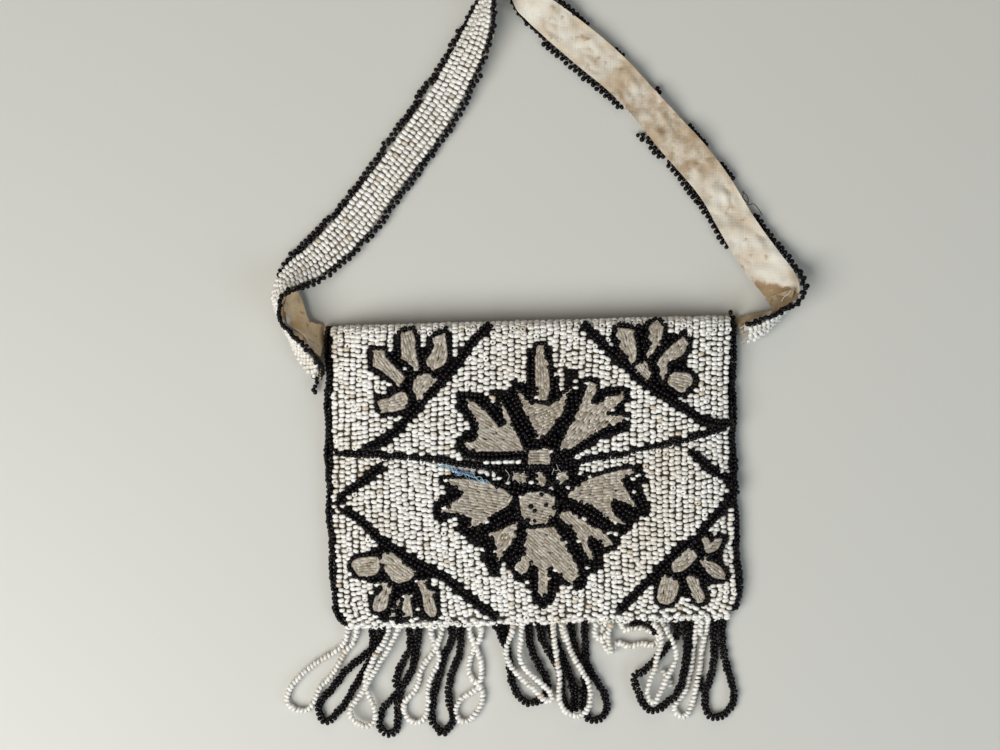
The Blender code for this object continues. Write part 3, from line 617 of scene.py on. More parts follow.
LOWER_ROSETTE = (
    ((449, 477.5), (466, 478), (486, 480.5), (505.7, 489.7), (511.8, 497.3), (507, 505), (493.5, 512.7), (484, 522),
     (470.5, 525), (472, 519), (473.6, 515.7), (458, 512.5), (443, 509.6), (450.6, 503.5), (461.3, 496), (464.4, 491),
     (450.6, 482)),
    ((518, 520), (515, 535.6), (505.7, 548), (498, 560), (496, 548), (495, 537), (492, 531), (481, 538.7), (499, 529)),
    ((525.6, 528), (524, 552.5), (515, 563), (521, 574), (527, 568), (530, 560), (538, 565), (538, 590.7),
     (542.5, 595.3), (547, 589), (547, 566), (551.6, 563), (560.8, 574), (570, 581.5), (579, 572.4), (574.6, 561.6),
     (565.4, 543.3), (553, 525)),
    ((559.3, 511), (559, 515.7), (573, 528), (580.7, 543.3), (590, 560), (593, 555.5), (586.8, 543), (586.8, 535.6),
     (596, 537), (603.7, 544.8), (611.3, 541.7), (602, 529.5), (583.8, 520), (570, 509.6)),
    ((567, 494.3), (573, 486.6), (588.4, 477.5), (611, 471), (631, 467), (632.8, 471), (620.5, 477.5),
     (623.6, 486.6), (629.7, 497), (635.8, 506.5), (624, 501), (611, 496), (609.8, 503.5), (612.9, 512.7), (622, 522),
     (616, 521), (603.7, 515.7), (593, 505), (579, 500.4)),
    ((510, 470), (525, 468), (528, 476), (522, 482.5), (513, 479)),
    ((535, 471), (542, 469), (546, 478), (543, 485.5), (536, 483)),
    ((556, 472), (567, 470), (567, 477), (559, 483)),
    ((519.5, 497), (528, 491), (544, 490), (554, 497), (555, 512), (547, 521), (531, 523), (521, 515)),
)
UPPER_LEFT_PALMETTE = (
    ((376, 350), (386, 351), (387, 357), (395.5, 366.4), (406.7, 377.6), (400.4, 386.4), (395.5, 380.5), (390, 376),
     (382, 370), (374.5, 365.7)),
    ((406, 332.7), (413, 331), (416.6, 340.5), (416.6, 349.6), (417.3, 358.7), (419.4, 363), (419.4, 370),
     (416.6, 371), (413.8, 367), (408, 361.5), (403, 359.4), (403, 351), (402, 341), (402.5, 336)),
    ((436, 337.6), (441.8, 335.5), (446, 334.8), (446.7, 342.6), (448, 351.7), (448, 357.3), (446, 363), (439, 368.5),
     (433.4, 370), (428.5, 365.7), (427.4, 361.5), (432, 354.5), (435.5, 346), (434, 340.5)),
    ((415, 378.4), (422, 374), (429, 374), (436, 377.6), (439, 382), (431, 389), (425, 393), (423.6, 398.7),
     (418.7, 400), (416.6, 393.8), (414, 389.6), (415, 383)),
    ((380.8, 400), (391.3, 397.3), (400.4, 392.4), (406.7, 392.4), (408.8, 396.6), (409.5, 405.7), (405.3, 408.5),
     (394, 410.6), (384.3, 412), (381.5, 407.8), (379.4, 403)),
)
UPPER_RIGHT_PALMETTE = (
    ((616.8, 328.8), (625, 329.6), (630.6, 331), (631.8, 337), (633.3, 344), (634.4, 353.3), (633, 361), (630.6, 364.8),
     (627.5, 361), (622, 353.3), (617, 346.4), (619, 341.8), (614, 337)),
    ((652.8, 320.4), (656.6, 322), (660.4, 328), (659.7, 336.5), (656, 342.6), (658, 345), (652.8, 349.5), (649, 354.8),
     (646, 358), (642.8, 356.4), (647.4, 348.7), (649.7, 344), (646, 338.8), (648, 332.7), (646.7, 326.5),
     (650.5, 324)),
    ((681, 337), (685, 343.4), (682.6, 349.5), (680.3, 354.8), (673.5, 359.4), (665.8, 361.7), (663.5, 366.3),
     (665, 371.7), (662.7, 377.8), (659.7, 380), (657.4, 375.5), (658, 368.6), (654.3, 364), (658, 358),
     (663.5, 351.8), (669, 346.4), (675, 341.8)),
    ((665.8, 375.5), (672, 372.4), (681, 373), (688, 375.5), (690.3, 380), (688.8, 384.7), (684, 387.7), (682.6, 391.6),
     (678, 392.3), (674, 389.3), (667.3, 385.5), (665, 381)),
    ((631.4, 365.6), (638.3, 362.5), (643.6, 362.5), (647.4, 366.3), (649, 372.4), (649.7, 378.6), (645, 381),
     (641.3, 377.8), (636.7, 374.7), (631.4, 369.4)),
)
LOWER_LEFT_PALMETTE = (
    ((353.6, 560), (361, 556.4), (370.4, 555.3), (377.3, 555), (380.4, 558.7), (381, 564.8), (378.8, 571),
     (374.3, 573.3), (366.6, 574), (359.7, 574), (356, 568.7), (353, 564)),
    ((385, 551), (392.6, 550.3), (399.5, 555.7), (407, 562.5), (416.3, 568), (414.8, 573.3), (409.4, 578.6),
     (398.7, 581), (393.4, 578.6), (388.8, 571.7), (385, 565.6), (381, 559.5)),
    ((382, 581), (388.8, 581), (392.6, 587), (389.6, 594.7), (388, 604), (384, 608.5), (380.4, 610), (375, 608.5),
     (373.5, 604.6), (375.8, 596), (381, 591.6), (384, 587.8)),
    ((405, 593), (410, 593), (411, 600), (412.5, 607.7), (413.3, 614.6), (405, 615.3), (403.3, 607), (405, 600)),
    ((397, 597.7), (401.8, 600), (401, 604), (396.4, 607), (395.7, 614.6), (391, 615.3), (392.6, 610), (397, 603)),
    ((419.4, 578.6), (424.8, 577.8), (427.8, 587.8), (433, 589.3), (433, 596), (436, 602.3), (437, 611.5),
     (434.7, 615.3), (430, 614.6), (425.5, 609), (424, 600), (422.5, 590), (418.6, 582.4)),
)
LOWER_RIGHT_PALMETTE = (
    ((700.4, 537.6), (705.4, 536), (709.6, 541.8), (712.4, 538.3), (718.7, 537), (719.4, 541.8), (717.3, 546),
     (713.8, 549), (706.8, 551.7), (703, 549.6), (701.8, 543)),
    ((683, 546.8), (688.5, 545.4), (692.7, 550.3), (694.8, 554.5), (690, 561.5), (684.3, 567), (678, 570),
     (671.7, 570), (669.6, 565.7), (671, 560.8), (676.6, 555), (680.8, 551)),
    ((697.6, 559.4), (703, 555), (708, 559.4), (713, 560.8), (718.7, 565), (722, 570), (725, 574), (721.5, 577.6),
     (716, 577), (711, 575.5), (705.4, 570), (701, 564.3)),
    ((661, 573.4), (668, 574), (676, 579), (677.3, 585.4), (675, 592.4), (671, 600.8), (664.6, 603), (659, 601.5),
     (656, 596), (656.6, 588), (659, 580.4)),
    ((684.3, 574.8), (690, 574), (697, 578.3), (698.3, 585.4), (702.5, 591), (703, 595), (700.4, 600.8), (697, 601.5),
     (691.3, 595), (688.5, 586.8), (685.7, 580.4)),
)
UPPER_LEFT_GROUND = (
    (367.4, 349.6), (377.3, 346), (382, 344.7), (390, 349), (394, 353), (394, 336), (397.6, 328.5), (404, 327.8),
    (410, 327), (415, 330.6), (422, 337.6), (423, 349), (425, 351.7), (427.8, 339), (429, 332), (436, 330.6),
    (444.6, 326.4), (450, 330.6), (452.4, 336), (453.8, 346), (456.6, 351.7), (459, 363), (440, 384), (415, 408),
    (398, 424), (394, 414.8), (380, 413.4), (378.7, 408.5), (371, 407.8), (371, 396), (382, 392.4), (391, 389),
    (384, 384.7), (383, 379), (375, 374), (368.8, 371.3), (367.4, 363),
)
UPPER_RIGHT_GROUND = (
    (607, 333.4), (611.5, 325.8), (619, 322.7), (631.4, 325), (639, 328.8), (642.8, 322), (649, 319), (656, 315),
    (662.7, 317.4), (667.3, 322), (667.3, 332.7), (673.5, 338), (675.7, 331), (688, 330.4), (691, 336.5),
    (691.8, 350.3), (685, 357), (684, 361.7), (693.3, 373), (696.4, 379.3), (695, 388.5), (689.5, 392.3), (683.4, 394),
    (676, 400), (662, 392), (650, 384), (636, 378), (623, 366), (612, 353), (606, 345),
)
LOWER_LEFT_GROUND = (
    (345, 556.4), (361, 549.5), (372, 546.5), (381, 540), (395, 548), (420, 563), (445, 578), (452, 586), (436, 584),
    (441, 591), (443, 602), (443, 615), (439, 621.5), (431.6, 622), (423, 618.4), (420, 613), (413.3, 613.8),
    (412.5, 618.4), (407, 623.8), (401, 624.5), (394, 618.4), (389.6, 614.6), (385, 620), (375.8, 617.6),
    (370.4, 613.8), (369, 604), (369.7, 593), (371, 586), (371, 581), (363.5, 580), (360.5, 574.8), (349, 572.5),
    (348, 567), (346, 558),
)
LOWER_RIGHT_GROUND = (
    (722, 534), (727.8, 537), (728.5, 545.4), (723, 549), (720, 554.5), (727.8, 560), (730.6, 568.5), (728.5, 574),
    (727.8, 579), (721.5, 582.5), (710.3, 583), (710.3, 598.7), (706, 604.3), (704.6, 610), (697.6, 612),
    (694, 610.6), (686.4, 601.5), (680, 594.5), (677.3, 595), (673, 604.3), (668, 608.5), (655.5, 608.5), (652, 600.8),
    (642, 592), (650, 578), (664, 562), (680, 546), (694, 536), (706, 524),
)

LOZENGE_UPPER = (
    ((491, 325), (472, 343), (459, 363), (444, 381), (426, 398), (413, 413), (399, 429), (383, 441), (365, 448)),
    ((581, 325), (593, 336), (606, 350), (623, 365), (638, 380), (654, 391), (667, 398), (682, 408), (696, 418),
     (716, 423), (731, 423)),
)
LOZENGE_LOWER = (
    ((385, 464), (366, 478), (347, 493), (339, 504), (363, 520), (380, 537), (399, 550), (422, 563), (445, 575),
     (463, 591), (485, 607), (498, 617)),
    ((688, 449), (704, 464), (717, 474), (731, 478), (734, 490), (724, 504), (708, 520), (696, 535), (682, 544),
     (667, 558), (653, 573), (636, 590), (618, 610)),
)
UPPER_LINES = (
    (2, (530, 349.6), (530, 397)), (1, (543.8, 352), (547.3, 365), (550.8, 376), (552, 386), (548.7, 398.7)),
    (1, (556, 376), (556.5, 396)), (1, (510, 383), (516.5, 380.5), (523, 385)), (1, (529, 398.7), (538, 401)),
    (3, (503, 391.7), (513, 408.6), (524.2, 425.4), (532.6, 439.4)),
    (3, (570.5, 390), (570.5, 400), (572, 412.8), (562, 422.6), (552.2, 428.2), (543.8, 440.8)),
    (2, (456.8, 397.3), (464, 396), (482, 398), (487.7, 404.4), (493.3, 412.8), (500.3, 421.2)),
    (2, (458, 403), (468, 412.8), (473.7, 421), (475, 428), (466.7, 433.8)),
    (2, (458, 442), (462.4, 448), (468, 453.5), (475, 455), (493.3, 455.6), (524.2, 453.5)),
    (1, (489, 393), (497.5, 393), (506, 397.3)), (1, (489, 399), (494.7, 408.6)), (2, (566, 373.5), (575, 373.5)),
    (1, (580, 382), (588.7, 377.7), (598.5, 382)), (2, (602.8, 389), (605.6, 397.3), (594.3, 408.6)),
    (1, (608.4, 389), (621, 389), (623.8, 400)), (1, (608.4, 414), (621, 411.4)),
    (2, (625, 420), (621, 427), (602.8, 431.7), (593, 436.6), (574.7, 449.3), (566.3, 456)),
    (3, (540, 440), (560, 444)), (3, (553, 450), (563, 462)), (2, (551, 449), (551, 464)),
)
LOWER_LINES = (
    (3, (512, 485), (530, 490)), (2, (558, 486), (566, 494)), (2, (497, 468), (505, 474), (508, 480)),
    (2, (572, 466), (574, 476), (569, 485)), (2, (529, 466), (530, 480)), (2, (550, 466), (551, 484)),
    (1, (496.5, 480.5), (505.7, 485), (515, 486.6), (524, 488)), (1, (446, 474.4), (440, 482)),
    (2, (450.6, 489.7), (458.3, 488), (459, 493), (452, 496), (443, 500.4), (438.4, 503.5), (436.8, 511),
     (444.5, 520.3)),
    (2, (456.7, 516), (464.4, 512), (469, 516), (462, 519), (459.8, 524), (464.4, 529), (472, 534), (478, 540)),
    (3, (481, 531), (487.3, 524), (496.5, 517.7), (505.7, 512.7), (511.8, 509.6)),
    (2, (485.8, 540), (489, 546), (487.3, 557), (492, 566), (496.5, 572.4)),
    (3, (521, 529.5), (518, 540), (515, 549.4), (505.7, 555.5)),
    (1, (511.8, 566), (515, 575.4), (521, 580), (527, 575.4), (531.7, 564.7)),
    (2, (533.3, 572), (533.3, 590.7), (539.4, 600), (545.5, 603), (550, 596.8), (551.6, 587.7), (553, 577),
     (550, 570)),
    (1, (556, 572.4), (562.4, 579)), (2, (573, 585.6), (580.7, 583), (583.3, 575.4), (580, 568)),
    (3, (562.4, 531), (568.5, 540), (573, 551), (579, 555.5)),
    (3, (574.6, 502), (586.8, 509.6), (596, 515.7), (605, 522), (608.3, 529.5)),
    (1, (616, 535.6), (613, 548), (605, 549.4)),
    (2, (590, 537), (593, 546.3), (596, 557), (596, 566), (590, 568), (585, 563)),
    (1, (565.4, 483.6), (576, 477.5), (588.4, 471.3)),
    (2, (632.8, 465), (639, 473), (640.4, 482), (631, 484), (623, 481)),
    (3, (634.3, 491), (639, 500.4), (642, 508), (637.4, 513), (629.7, 512), (622, 506.5), (617.5, 501)),
    (2, (620.5, 512.7), (626.6, 520), (625, 527.4), (616, 531)),
)
RING_DOTS = (
    (530, 505), (534, 509.6), (545.5, 503.5), (541, 493.5), (527, 519), (534, 519.5), (550, 515.7), (516.4, 505),
    (516.4, 515.7), (553, 506.5), (557.8, 500.4), (567, 503.5),
)


def motif(pattern, petals, ground=None):
    """Black beads in a row round each petal, then the ground close by."""
    for petal in petals:
        pattern.put(*stepped(on_body(grown(petal, 2.7)), BLACK_STEP, True))
    pattern.fill(petals, ground)


flap_pattern = Pattern((*UPPER_ROSETTE, *UPPER_LEFT_PALMETTE, *UPPER_RIGHT_PALMETTE))
front_pattern = Pattern((*LOWER_ROSETTE, *LOWER_LEFT_PALMETTE, *LOWER_RIGHT_PALMETTE))
for line in LOZENGE_UPPER:
    flap_pattern.row(line, 2)
for line in LOZENGE_LOWER:
    front_pattern.row(line, 2)
motif(flap_pattern, UPPER_LEFT_PALMETTE, UPPER_LEFT_GROUND)
motif(flap_pattern, UPPER_RIGHT_PALMETTE, UPPER_RIGHT_GROUND)
motif(front_pattern, LOWER_LEFT_PALMETTE, LOWER_LEFT_GROUND)
motif(front_pattern, LOWER_RIGHT_PALMETTE, LOWER_RIGHT_GROUND)
for rows, *line in UPPER_LINES:
    flap_pattern.row(line, rows)
for rows, *line in LOWER_LINES:
    front_pattern.row(line, rows)
motif(flap_pattern, UPPER_ROSETTE)
motif(front_pattern, LOWER_ROSETTE)
front_pattern.spots = np.vstack([front_pattern.spots, on_body(RING_DOTS)])
front_pattern.ways = np.vstack([front_pattern.ways, np.tile([0.0, 1.0], (len(RING_DOTS), 1))])


def white_places(pattern, low, high):
    """White beads in upright columns from side to side, each half a bead off the next, up to the pattern's edges."""
    side = HALF_WIDTH - 0.0002
    columns = round(2 * side / COLUMN_STEP) + 1
    spots = []
    for k in range(columns):
        step = ROW_STEP * (1 + rng.normal(0, 0.012))
        start = (k % 2) * step / 2 + rng.normal(0, 0.00025)
        t = np.arange(low + start, high, step)
        v = (np.minimum(t, TOP) - BOTTOM) / HEIGHT
        x = (-1 + 2 * k / (columns - 1)) * side * half_width(v) / HALF_WIDTH + sway(v)
        x += 0.00016 * np.sin(t * 210 + k * 1.7) + 0.00030 * np.sin(t * 73 + k * 0.25)
        t = t + 0.00055 * np.sin(x * 75 + t * 50) + 0.00025 * np.sin(x * 260)
        spots.append(np.stack([x, t], 1))
    spots = np.concatenate(spots)
    spots += rng.normal(0, 1, spots.shape) * (0.00018, 0.00014)
    spots = spots[spots[:, 1] < high]
    if pattern is None:
        return spots
    for petal in pattern.petals:
        spots = spots[~inside(spots, petal)]
    kept, pushed = [], []
    for spot in spots:
        gap = (spot - pattern.spots) / WHITE_ROOM
        near = (gap**2).sum(1)
        if near.min() >= 1:
            kept.append(spot)
        elif near.min() > 0.22:
            k = near.argmin()
            pushed.append(pattern.spots[k] + gap[k] / math.sqrt(near[k]) * WHITE_ROOM * 1.01)
    kept, pushed = np.array(kept), np.array(pushed)
    for petal in pattern.petals:
        pushed = pushed[~inside(pushed, petal)]
    for spot in pushed:
        clear = (((spot - pattern.spots) / WHITE_ROOM)**2).sum(1).min() > 0.92
        if clear and (((spot - kept) / (0.00165, 0.00125))**2).sum(1).min() > 1:
            kept = np.vstack([kept, spot])
    return kept


def lay_white(beads, surface, spots, sink, sizes=(WHITE_ACROSS, WHITE_LONG, 0.00088), standing=0.04):
    """White beads on their sides; near the purse's top many stand on end and show their holes."""
    n = len(spots)
    turned = np.where(rng.random(n) < 0.10, rng.normal(0, 0.6, n), rng.normal(0, 0.13, n))
    centre, along, side, out = frames_on(surface, spots[:, 0], spots[:, 1], turned)
    place = centre + out * (rng.normal(0, 0.00010, (n, 1)) - sink)
    tipped = rng.random(n) < standing + 5 * standing * np.clip((spots[:, 1] - TOP + 0.007) / 0.005, 0, 1)
    along[tipped], out[tipped] = out[tipped] - 0.5 * along[tipped], -along[tipped]
    along, side, out = wobble(along, side, out, 0.17)
    scale = np.array(sizes) * rng.normal(1, 0.045, (n, 1)) * rng.normal(1, 0.04, (n, 3))
    scale[tipped, 2] = sizes[0] * 0.9
    beads.add(place, along, side, out, scale)


def lay_black(beads, surface, spots, ways, rise):
    """Black beads along their lines, some of them on end. The rows draw together a little over the fold."""
    n = len(spots)
    angle = np.arctan2(-ways[:, 0], ways[:, 1]) + rng.normal(0, 0.28, n)
    t = np.where(spots[:, 1] > FOLD_START, FOLD_START + (spots[:, 1] - FOLD_START) * 1.25, spots[:, 1])
    spread = rng.normal(0, 0.00008, (n, 2))
    centre, along, side, out = frames_on(surface, spots[:, 0] + spread[:, 0], t + spread[:, 1], angle)
    place = centre + out * (rise + rng.normal(0, 0.00010, (n, 1)))
    tipped = rng.random(n) < 0.22
    along[tipped], out[tipped] = out[tipped], -along[tipped]
    along, side, out = wobble(along, side, out, 0.25)
    beads.add(place, along, side, out, np.array(BLACK_ON_PATTERN) * rng.normal(1, 0.07, (n, 1)))


# White grounds of the front, the flap and the back
front_spots = white_places(front_pattern, BOTTOM - 0.0010, MOUTH - 0.0006)
covered = front_spots[:, 1] > flap_edge_y(front_spots[:, 0]) + 0.004
front_white = Beads()
lay_white(front_white, front_surface, front_spots[~covered], WHITE_SINK)
front_white.build("front_white_beads", FINE_BEAD, white_glass, "pocket", "white_beads", ("front_beadwork",))
hidden_white = Beads()
lay_white(hidden_white, front_surface, front_spots[covered], 0.00090)
hidden_white.build("front_beads_under_flap", PLAIN_BEAD, white_glass, "pocket", "white_beads", most=1600)

flap_spots = white_places(flap_pattern, -0.02, flap_end(0) - 0.0008)
v_spot = (np.minimum(flap_spots[:, 1], TOP) - BOTTOM) / HEIGHT
keep = flap_spots[:, 1] > flap_edge_y(flap_spots[:, 0]) + 0.0024
keep &= flap_spots[:, 1] < flap_end(across_share(flap_spots[:, 0], v_spot)) - 0.0007
flap_white = Beads()
lay_white(flap_white, flap_surface, flap_spots[keep], WHITE_SINK)
flap_white.build("flap_white_beads", FINE_BEAD, white_glass, "flap", "white_beads", ("flap_beadwork",))

back_spots = white_places(None, BOTTOM + 0.0006, TOP - 0.0006)
back_white = Beads()
lay_white(back_white, back_surface, back_spots, -0.00112, (WHITE_ACROSS, WHITE_LONG, 0.00074), 0)
back_white.build("back_white_beads", PLAIN_BEAD, white_glass, "pocket", "white_beads", ("back_beadwork",), most=1600)

# Black pattern beads
front_black = Beads()
lay_black(front_black, front_surface, front_pattern.spots, front_pattern.ways, -0.0001)
front_black.build("front_black_beads", FINE_BEAD, black_glass, "pocket", "black_beads", (
    "lozenge_lower_left", "lozenge_lower_right", "rosette_lower_outline", "palmette_lower_left_outline",
    "palmette_lower_right_outline",
))
flap_black = Beads()
lay_black(flap_black, flap_surface, flap_pattern.spots, flap_pattern.ways, -0.0001)
flap_black.build("flap_black_beads", FINE_BEAD, black_glass, "flap", "black_beads", (
    "lozenge_upper_left", "lozenge_upper_right", "rosette_upper_outline", "palmette_upper_left_outline",
    "palmette_upper_right_outline",
))


# Clear bugle beads of the petals


def petal_rods(petal):
    """Clear beads of one petal: long ones end to end inside its border, short ones in rows over its middle."""
    outline = on_body(petal)
    border, turns = stepped(on_body(grown(petal, -1.2)), 0.0027, True)
    rods = [(a, b, 0.0029, 0.00012) for a, b in zip(border, turns) if inside(a[None], outline)[0]]
    middle = outline.mean(0)
    values, axes = np.linalg.eigh(np.cov((outline - middle).T))
    way = axes[:, 1]
    side = np.array([-way[1], way[0]])
    reach = (outline - middle) @ way
    width = (outline - middle) @ side
    for w in np.arange(width.min() + ROD_ROW_STEP / 2, width.max(), ROD_ROW_STEP):
        at = np.arange(reach.min(), reach.max(), ROD_PROBE)
        hit = inside(middle + way * at[:, None] + side * w, outline)
        edges = np.flatnonzero(np.diff(np.concatenate([[0], hit.astype(int), [0]])))
        for a, b in edges.reshape(-1, 2):
            start, length = at[a], (b - a) * ROD_PROBE
            if length < SHORTEST_ROD:
                continue
            parts = max(1, round(length / rng.uniform(0.0018, 0.0040)))
            for k in range(parts):
                place = middle + way * (start + length * (k + 0.5) / parts) + side * w
                rods.append((place, way, length / parts, rng.normal(0, 0.00005)))
    return rods


def lay_rods(name, surface, petals, body, nodes):
    """The clear rods of several petals, as one piece."""
    beads = Beads()
    for petal in petals:
        rods = petal_rods(petal)
        if not rods:
            continue
        spots, ways = (np.array([r[k] for r in rods]) for k in (0, 1))
        long, lift = (np.array([r[k] for r in rods]) for k in (2, 3))
        n = len(rods)
        angle = np.arctan2(-ways[:, 0], ways[:, 1]) + rng.normal(0, 0.12, n)
        centre, along, side, out = frames_on(surface, spots[:, 0], spots[:, 1], angle)
        along, side, out = wobble(along, side, out, 0.05)
        scale = np.stack([rng.normal(0.00055, 0.00005, n), long * 1.04, np.full(n, 0.00044)], 1)
        beads.add(centre + out * (lift[:, None] - 0.00042), along, side, out, scale)
    beads.build(name, ROD, clear_glass, body, "clear_beads", nodes)


lay_rods("front_clear_rods", front_surface, (*LOWER_ROSETTE, *LOWER_LEFT_PALMETTE, *LOWER_RIGHT_PALMETTE), "pocket", (
    "rosette_lower_petals", "palmette_lower_left_petals", "palmette_lower_right_petals",
))
lay_rods("flap_clear_rods", flap_surface, (*UPPER_ROSETTE, *UPPER_LEFT_PALMETTE, *UPPER_RIGHT_PALMETTE), "flap", (
    "rosette_upper_petals", "palmette_upper_left_petals", "palmette_upper_right_petals",
))


# Strings of beads along a line in space


def even(points, step=None, count=None):
    """A line through the same course with its points evenly apart, by a step or by how many there are."""
    p = np.asarray(points, float)
    run = np.concatenate([[0], np.cumsum(np.linalg.norm(np.diff(p, axis=0), axis=1))])
    n = count or max(2, round(run[-1] / step) + 1)
    at = np.linspace(0, run[-1], n)
    return np.stack([np.interp(at, run, p[:, k]) for k in range(p.shape[1])], 1)


def smooth(points):
    """Catmull-Rom curve through the points."""
    p = np.asarray(points, float)
    p = np.concatenate([[2 * p[0] - p[1]], p, [2 * p[-1] - p[-2]]])
    t = (np.arange(12) / 12)[:, None]
    made = []
    for a, b, c, d in zip(p, p[1:], p[2:], p[3:]):
        made.append((2 * b + (c - a) * t + (2 * a - 5 * b + 4 * c - d) * t**2 + (3 * b - a - 3 * c + d) * t**3) / 2)
    return np.concatenate([*made, p[-2:-1]])


def strung(line, step, start=0.0):
    """Bead places along a line, with the line's direction, its side and its upper side at each."""
    p = even(line, step)
    centre = (p[1:] + p[:-1]) / 2 + (p[1:] - p[:-1]) * start
    along = unit(p[1:] - p[:-1])
    up = np.tile([0.0, 0.0, 1.0], (len(along), 1))
    up[np.abs(along[:, 2]) > 0.9] = (0, 1, 0)
    out = unit(up - along * (up * along).sum(1, keepdims=True))
    return centre, along, np.cross(along, out), out


def string_beads(beads, line, step, sizes, tip=0.12, spread=0.05, slant=0.0, scatter=0.0):
    """Beads strung along a line, their holes along it or slanting across it."""
    centre, along, side, out = strung(line, step)
    n = len(centre)
    lean = along * math.cos(slant) + side * math.sin(slant)
    along, side, out = wobble(lean, np.cross(lean, out), out, tip)
    centre = centre + rng.normal(0, 1, centre.shape) * scatter
    beads.add(centre, along, side, out, np.array(sizes) * rng.normal(1, spread, (n, 1)))


def paired_beads(beads, line):
    """Two strings of beads lying close together and wound round each other, half a bead apart."""
    for half in (0, 1):
        centre, along, side, out = strung(line, BLACK_STEP, half / 2)
        n = len(centre)
        turn = np.arange(n) * 1.9 + half * math.pi + rng.normal(0, 0.4, n)
        sway_out = (1 - 2 * half) * (PAIR_APART + 0.00016 * np.sin(turn))
        centre = centre + side * sway_out[:, None] + out * (PAIR_RISE * np.cos(turn))[:, None]
        along, side, out = wobble(along, side, out, 0.26)
        beads.add(centre, along, side, out, np.array(STRUNG_BLACK) * rng.normal(1, 0.07, (n, 1)))


def thread(name, line, radius, finish, body, sides=6):
    """A plain thread along a line."""
    p = np.asarray(line, float)
    way = unit(np.gradient(p, axis=0))
    up = np.tile([0.0, 0.0, 1.0], (len(p), 1))
    up[np.abs(way[:, 2]) > 0.9] = (0, 1, 0)
    side = unit(np.cross(way, up))
    up = np.cross(side, way)
    turn = np.arange(sides) * 2 * np.pi / sides
    ring = side[:, None] * np.cos(turn)[None, :, None] + up[:, None] * np.sin(turn)[None, :, None]
    points = (p[:, None] + ring * radius).reshape(-1, 3)
    k = np.arange(len(p) - 1)[:, None] * sides
    i, j = np.arange(sides), np.roll(np.arange(sides), -1)
    faces = np.stack([k + i, k + j, k + sides + j, k + sides + i], -1).reshape(-1, 4)
    made = mesh_object(name, points, faces, None, finish)
    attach(made, body)
    return made


# Side edgings, the hem row and the flap's edge


def edging_line(side, reach, z):
    """One string of a side edging: how far out of the seam, and how high."""
    v = np.linspace(0, (0.051 - BOTTOM) / HEIGHT, 80)
    y = BOTTOM + HEIGHT * v
    wander = 0.00028 * np.sin(y * 330 + reach * 3000 + side) + 0.0002 * np.sin(y * 790 + z * 2000)
    x = side * (half_width(v) + reach + wander) + sway(v)
    return np.stack([x, y, np.full_like(v, z)], 1)


EDGING_STRINGS = ((0.0009, 0.0013), (0.0009, 0.0031), (0.0010, 0.0048), (0.0023, 0.0022), (0.0023, 0.0040))
LEFT_CORNER_PIXELS = ((334, 604), (337, 613), (343, 621), (352, 626))
for name, side in (("edging_left", -1), ("edging_right", 1)):
    beads = Beads()
    for reach, z in EDGING_STRINGS:
        string_beads(beads, edging_line(side, reach, z), BLACK_STEP, BLACK_ROUND, 0.34, 0.07, scatter=0.00012)
    if side < 0:
        for drop, z in ((0, 0.0038), (0.0005, 0.0022)):
            corner = on_body(LEFT_CORNER_PIXELS) + (0, -drop)
            corner = np.concatenate([corner, np.full((len(corner), 1), z)], 1)
            string_beads(beads, smooth(corner), BLACK_STEP, BLACK_ROUND, 0.34, 0.07, scatter=0.0001)
    beads.build(name + "_beads", FINE_BEAD, black_glass, "pocket", "black_beads", (name,))

# The hem, as three rows of beads turned about its edge
hem = Beads()
for k, (y, z, tip) in enumerate(((-0.0504, 0.0043, 0.6), (-0.0514, 0.0031, 1.2), (-0.0506, 0.0019, 1.9))):
    side = half_width(0.0) - 0.0008
    x = np.linspace(-side, side, round(2 * side / COLUMN_STEP) + 1 - k % 2)
    n = len(x)
    centre = np.stack([x, np.full(n, y), np.full(n, z)], 1) + rng.normal(0, 0.00028, (n, 3))
    along = np.tile([0.0, math.cos(tip), math.sin(tip)], (n, 1))
    out = np.tile([0.0, -math.sin(tip), math.cos(tip)], (n, 1))
    along, side, out = wobble(along, np.cross(along, out), out, 0.2)
    hem.add(centre, along, side, out, np.array((WHITE_ACROSS, WHITE_LONG, 0.00095)) * rng.normal(1, 0.06, (n, 1)))
hem.build("hem_beads", FINE_BEAD, white_glass, "pocket", "white_beads", ("hem_row",))

flap_edge = Beads()
x = np.linspace(-HALF_WIDTH + 0.0004, HALF_WIDTH - 0.0004, 120)
for lift, drop in ((0.0009, 0.0006), (0.0015, 0.0017)):
    y = flap_edge_y(x) + drop
    line = flap_surface(x + sway((y - BOTTOM) / HEIGHT), y, lift)
    string_beads(flap_edge, line, BLACK_STEP, BLACK_ROUND, 0.30, 0.07, scatter=0.00014)
flap_edge.build("flap_edge_black_beads", FINE_BEAD, black_glass, "flap", "black_beads", ("flap_edge_beads",))


# Strap

STRAP_PIXELS = (
    (320, 372, 62), (305, 356, 66), (293, 337, 82), (283, 320, 88), (279, 304, 77), (281, 292, 66), (289, 282, 52),
    (301, 273, 33), (319, 260, 14), (347, 233, 6), (368, 207, 4), (388, 180, 3), (410, 151, 3), (431, 123, 5),
    (447, 98, 10), (460, 74, 20), (473, 48, 36), (482, 24, 55), (489, 2, 72), (496, -14, 84), (506, -20, 94),
    (516, -12, 116), (532, 7, 150), (555, 27, 168), (577, 45, 174), (615, 77, 176), (643, 106, 176),
    (672, 139, 176), (696, 166, 176), (718, 194, 176), (740, 230, 175), (756, 254, 174), (768, 270, 171),
    (778, 282, 164), (785, 292, 146), (786, 299, 120), (783, 307, 98), (776, 316, 82), (765, 325, 74),
    (754, 332, 66), (745, 336, 62),
)
STRAP_ROWS = 130


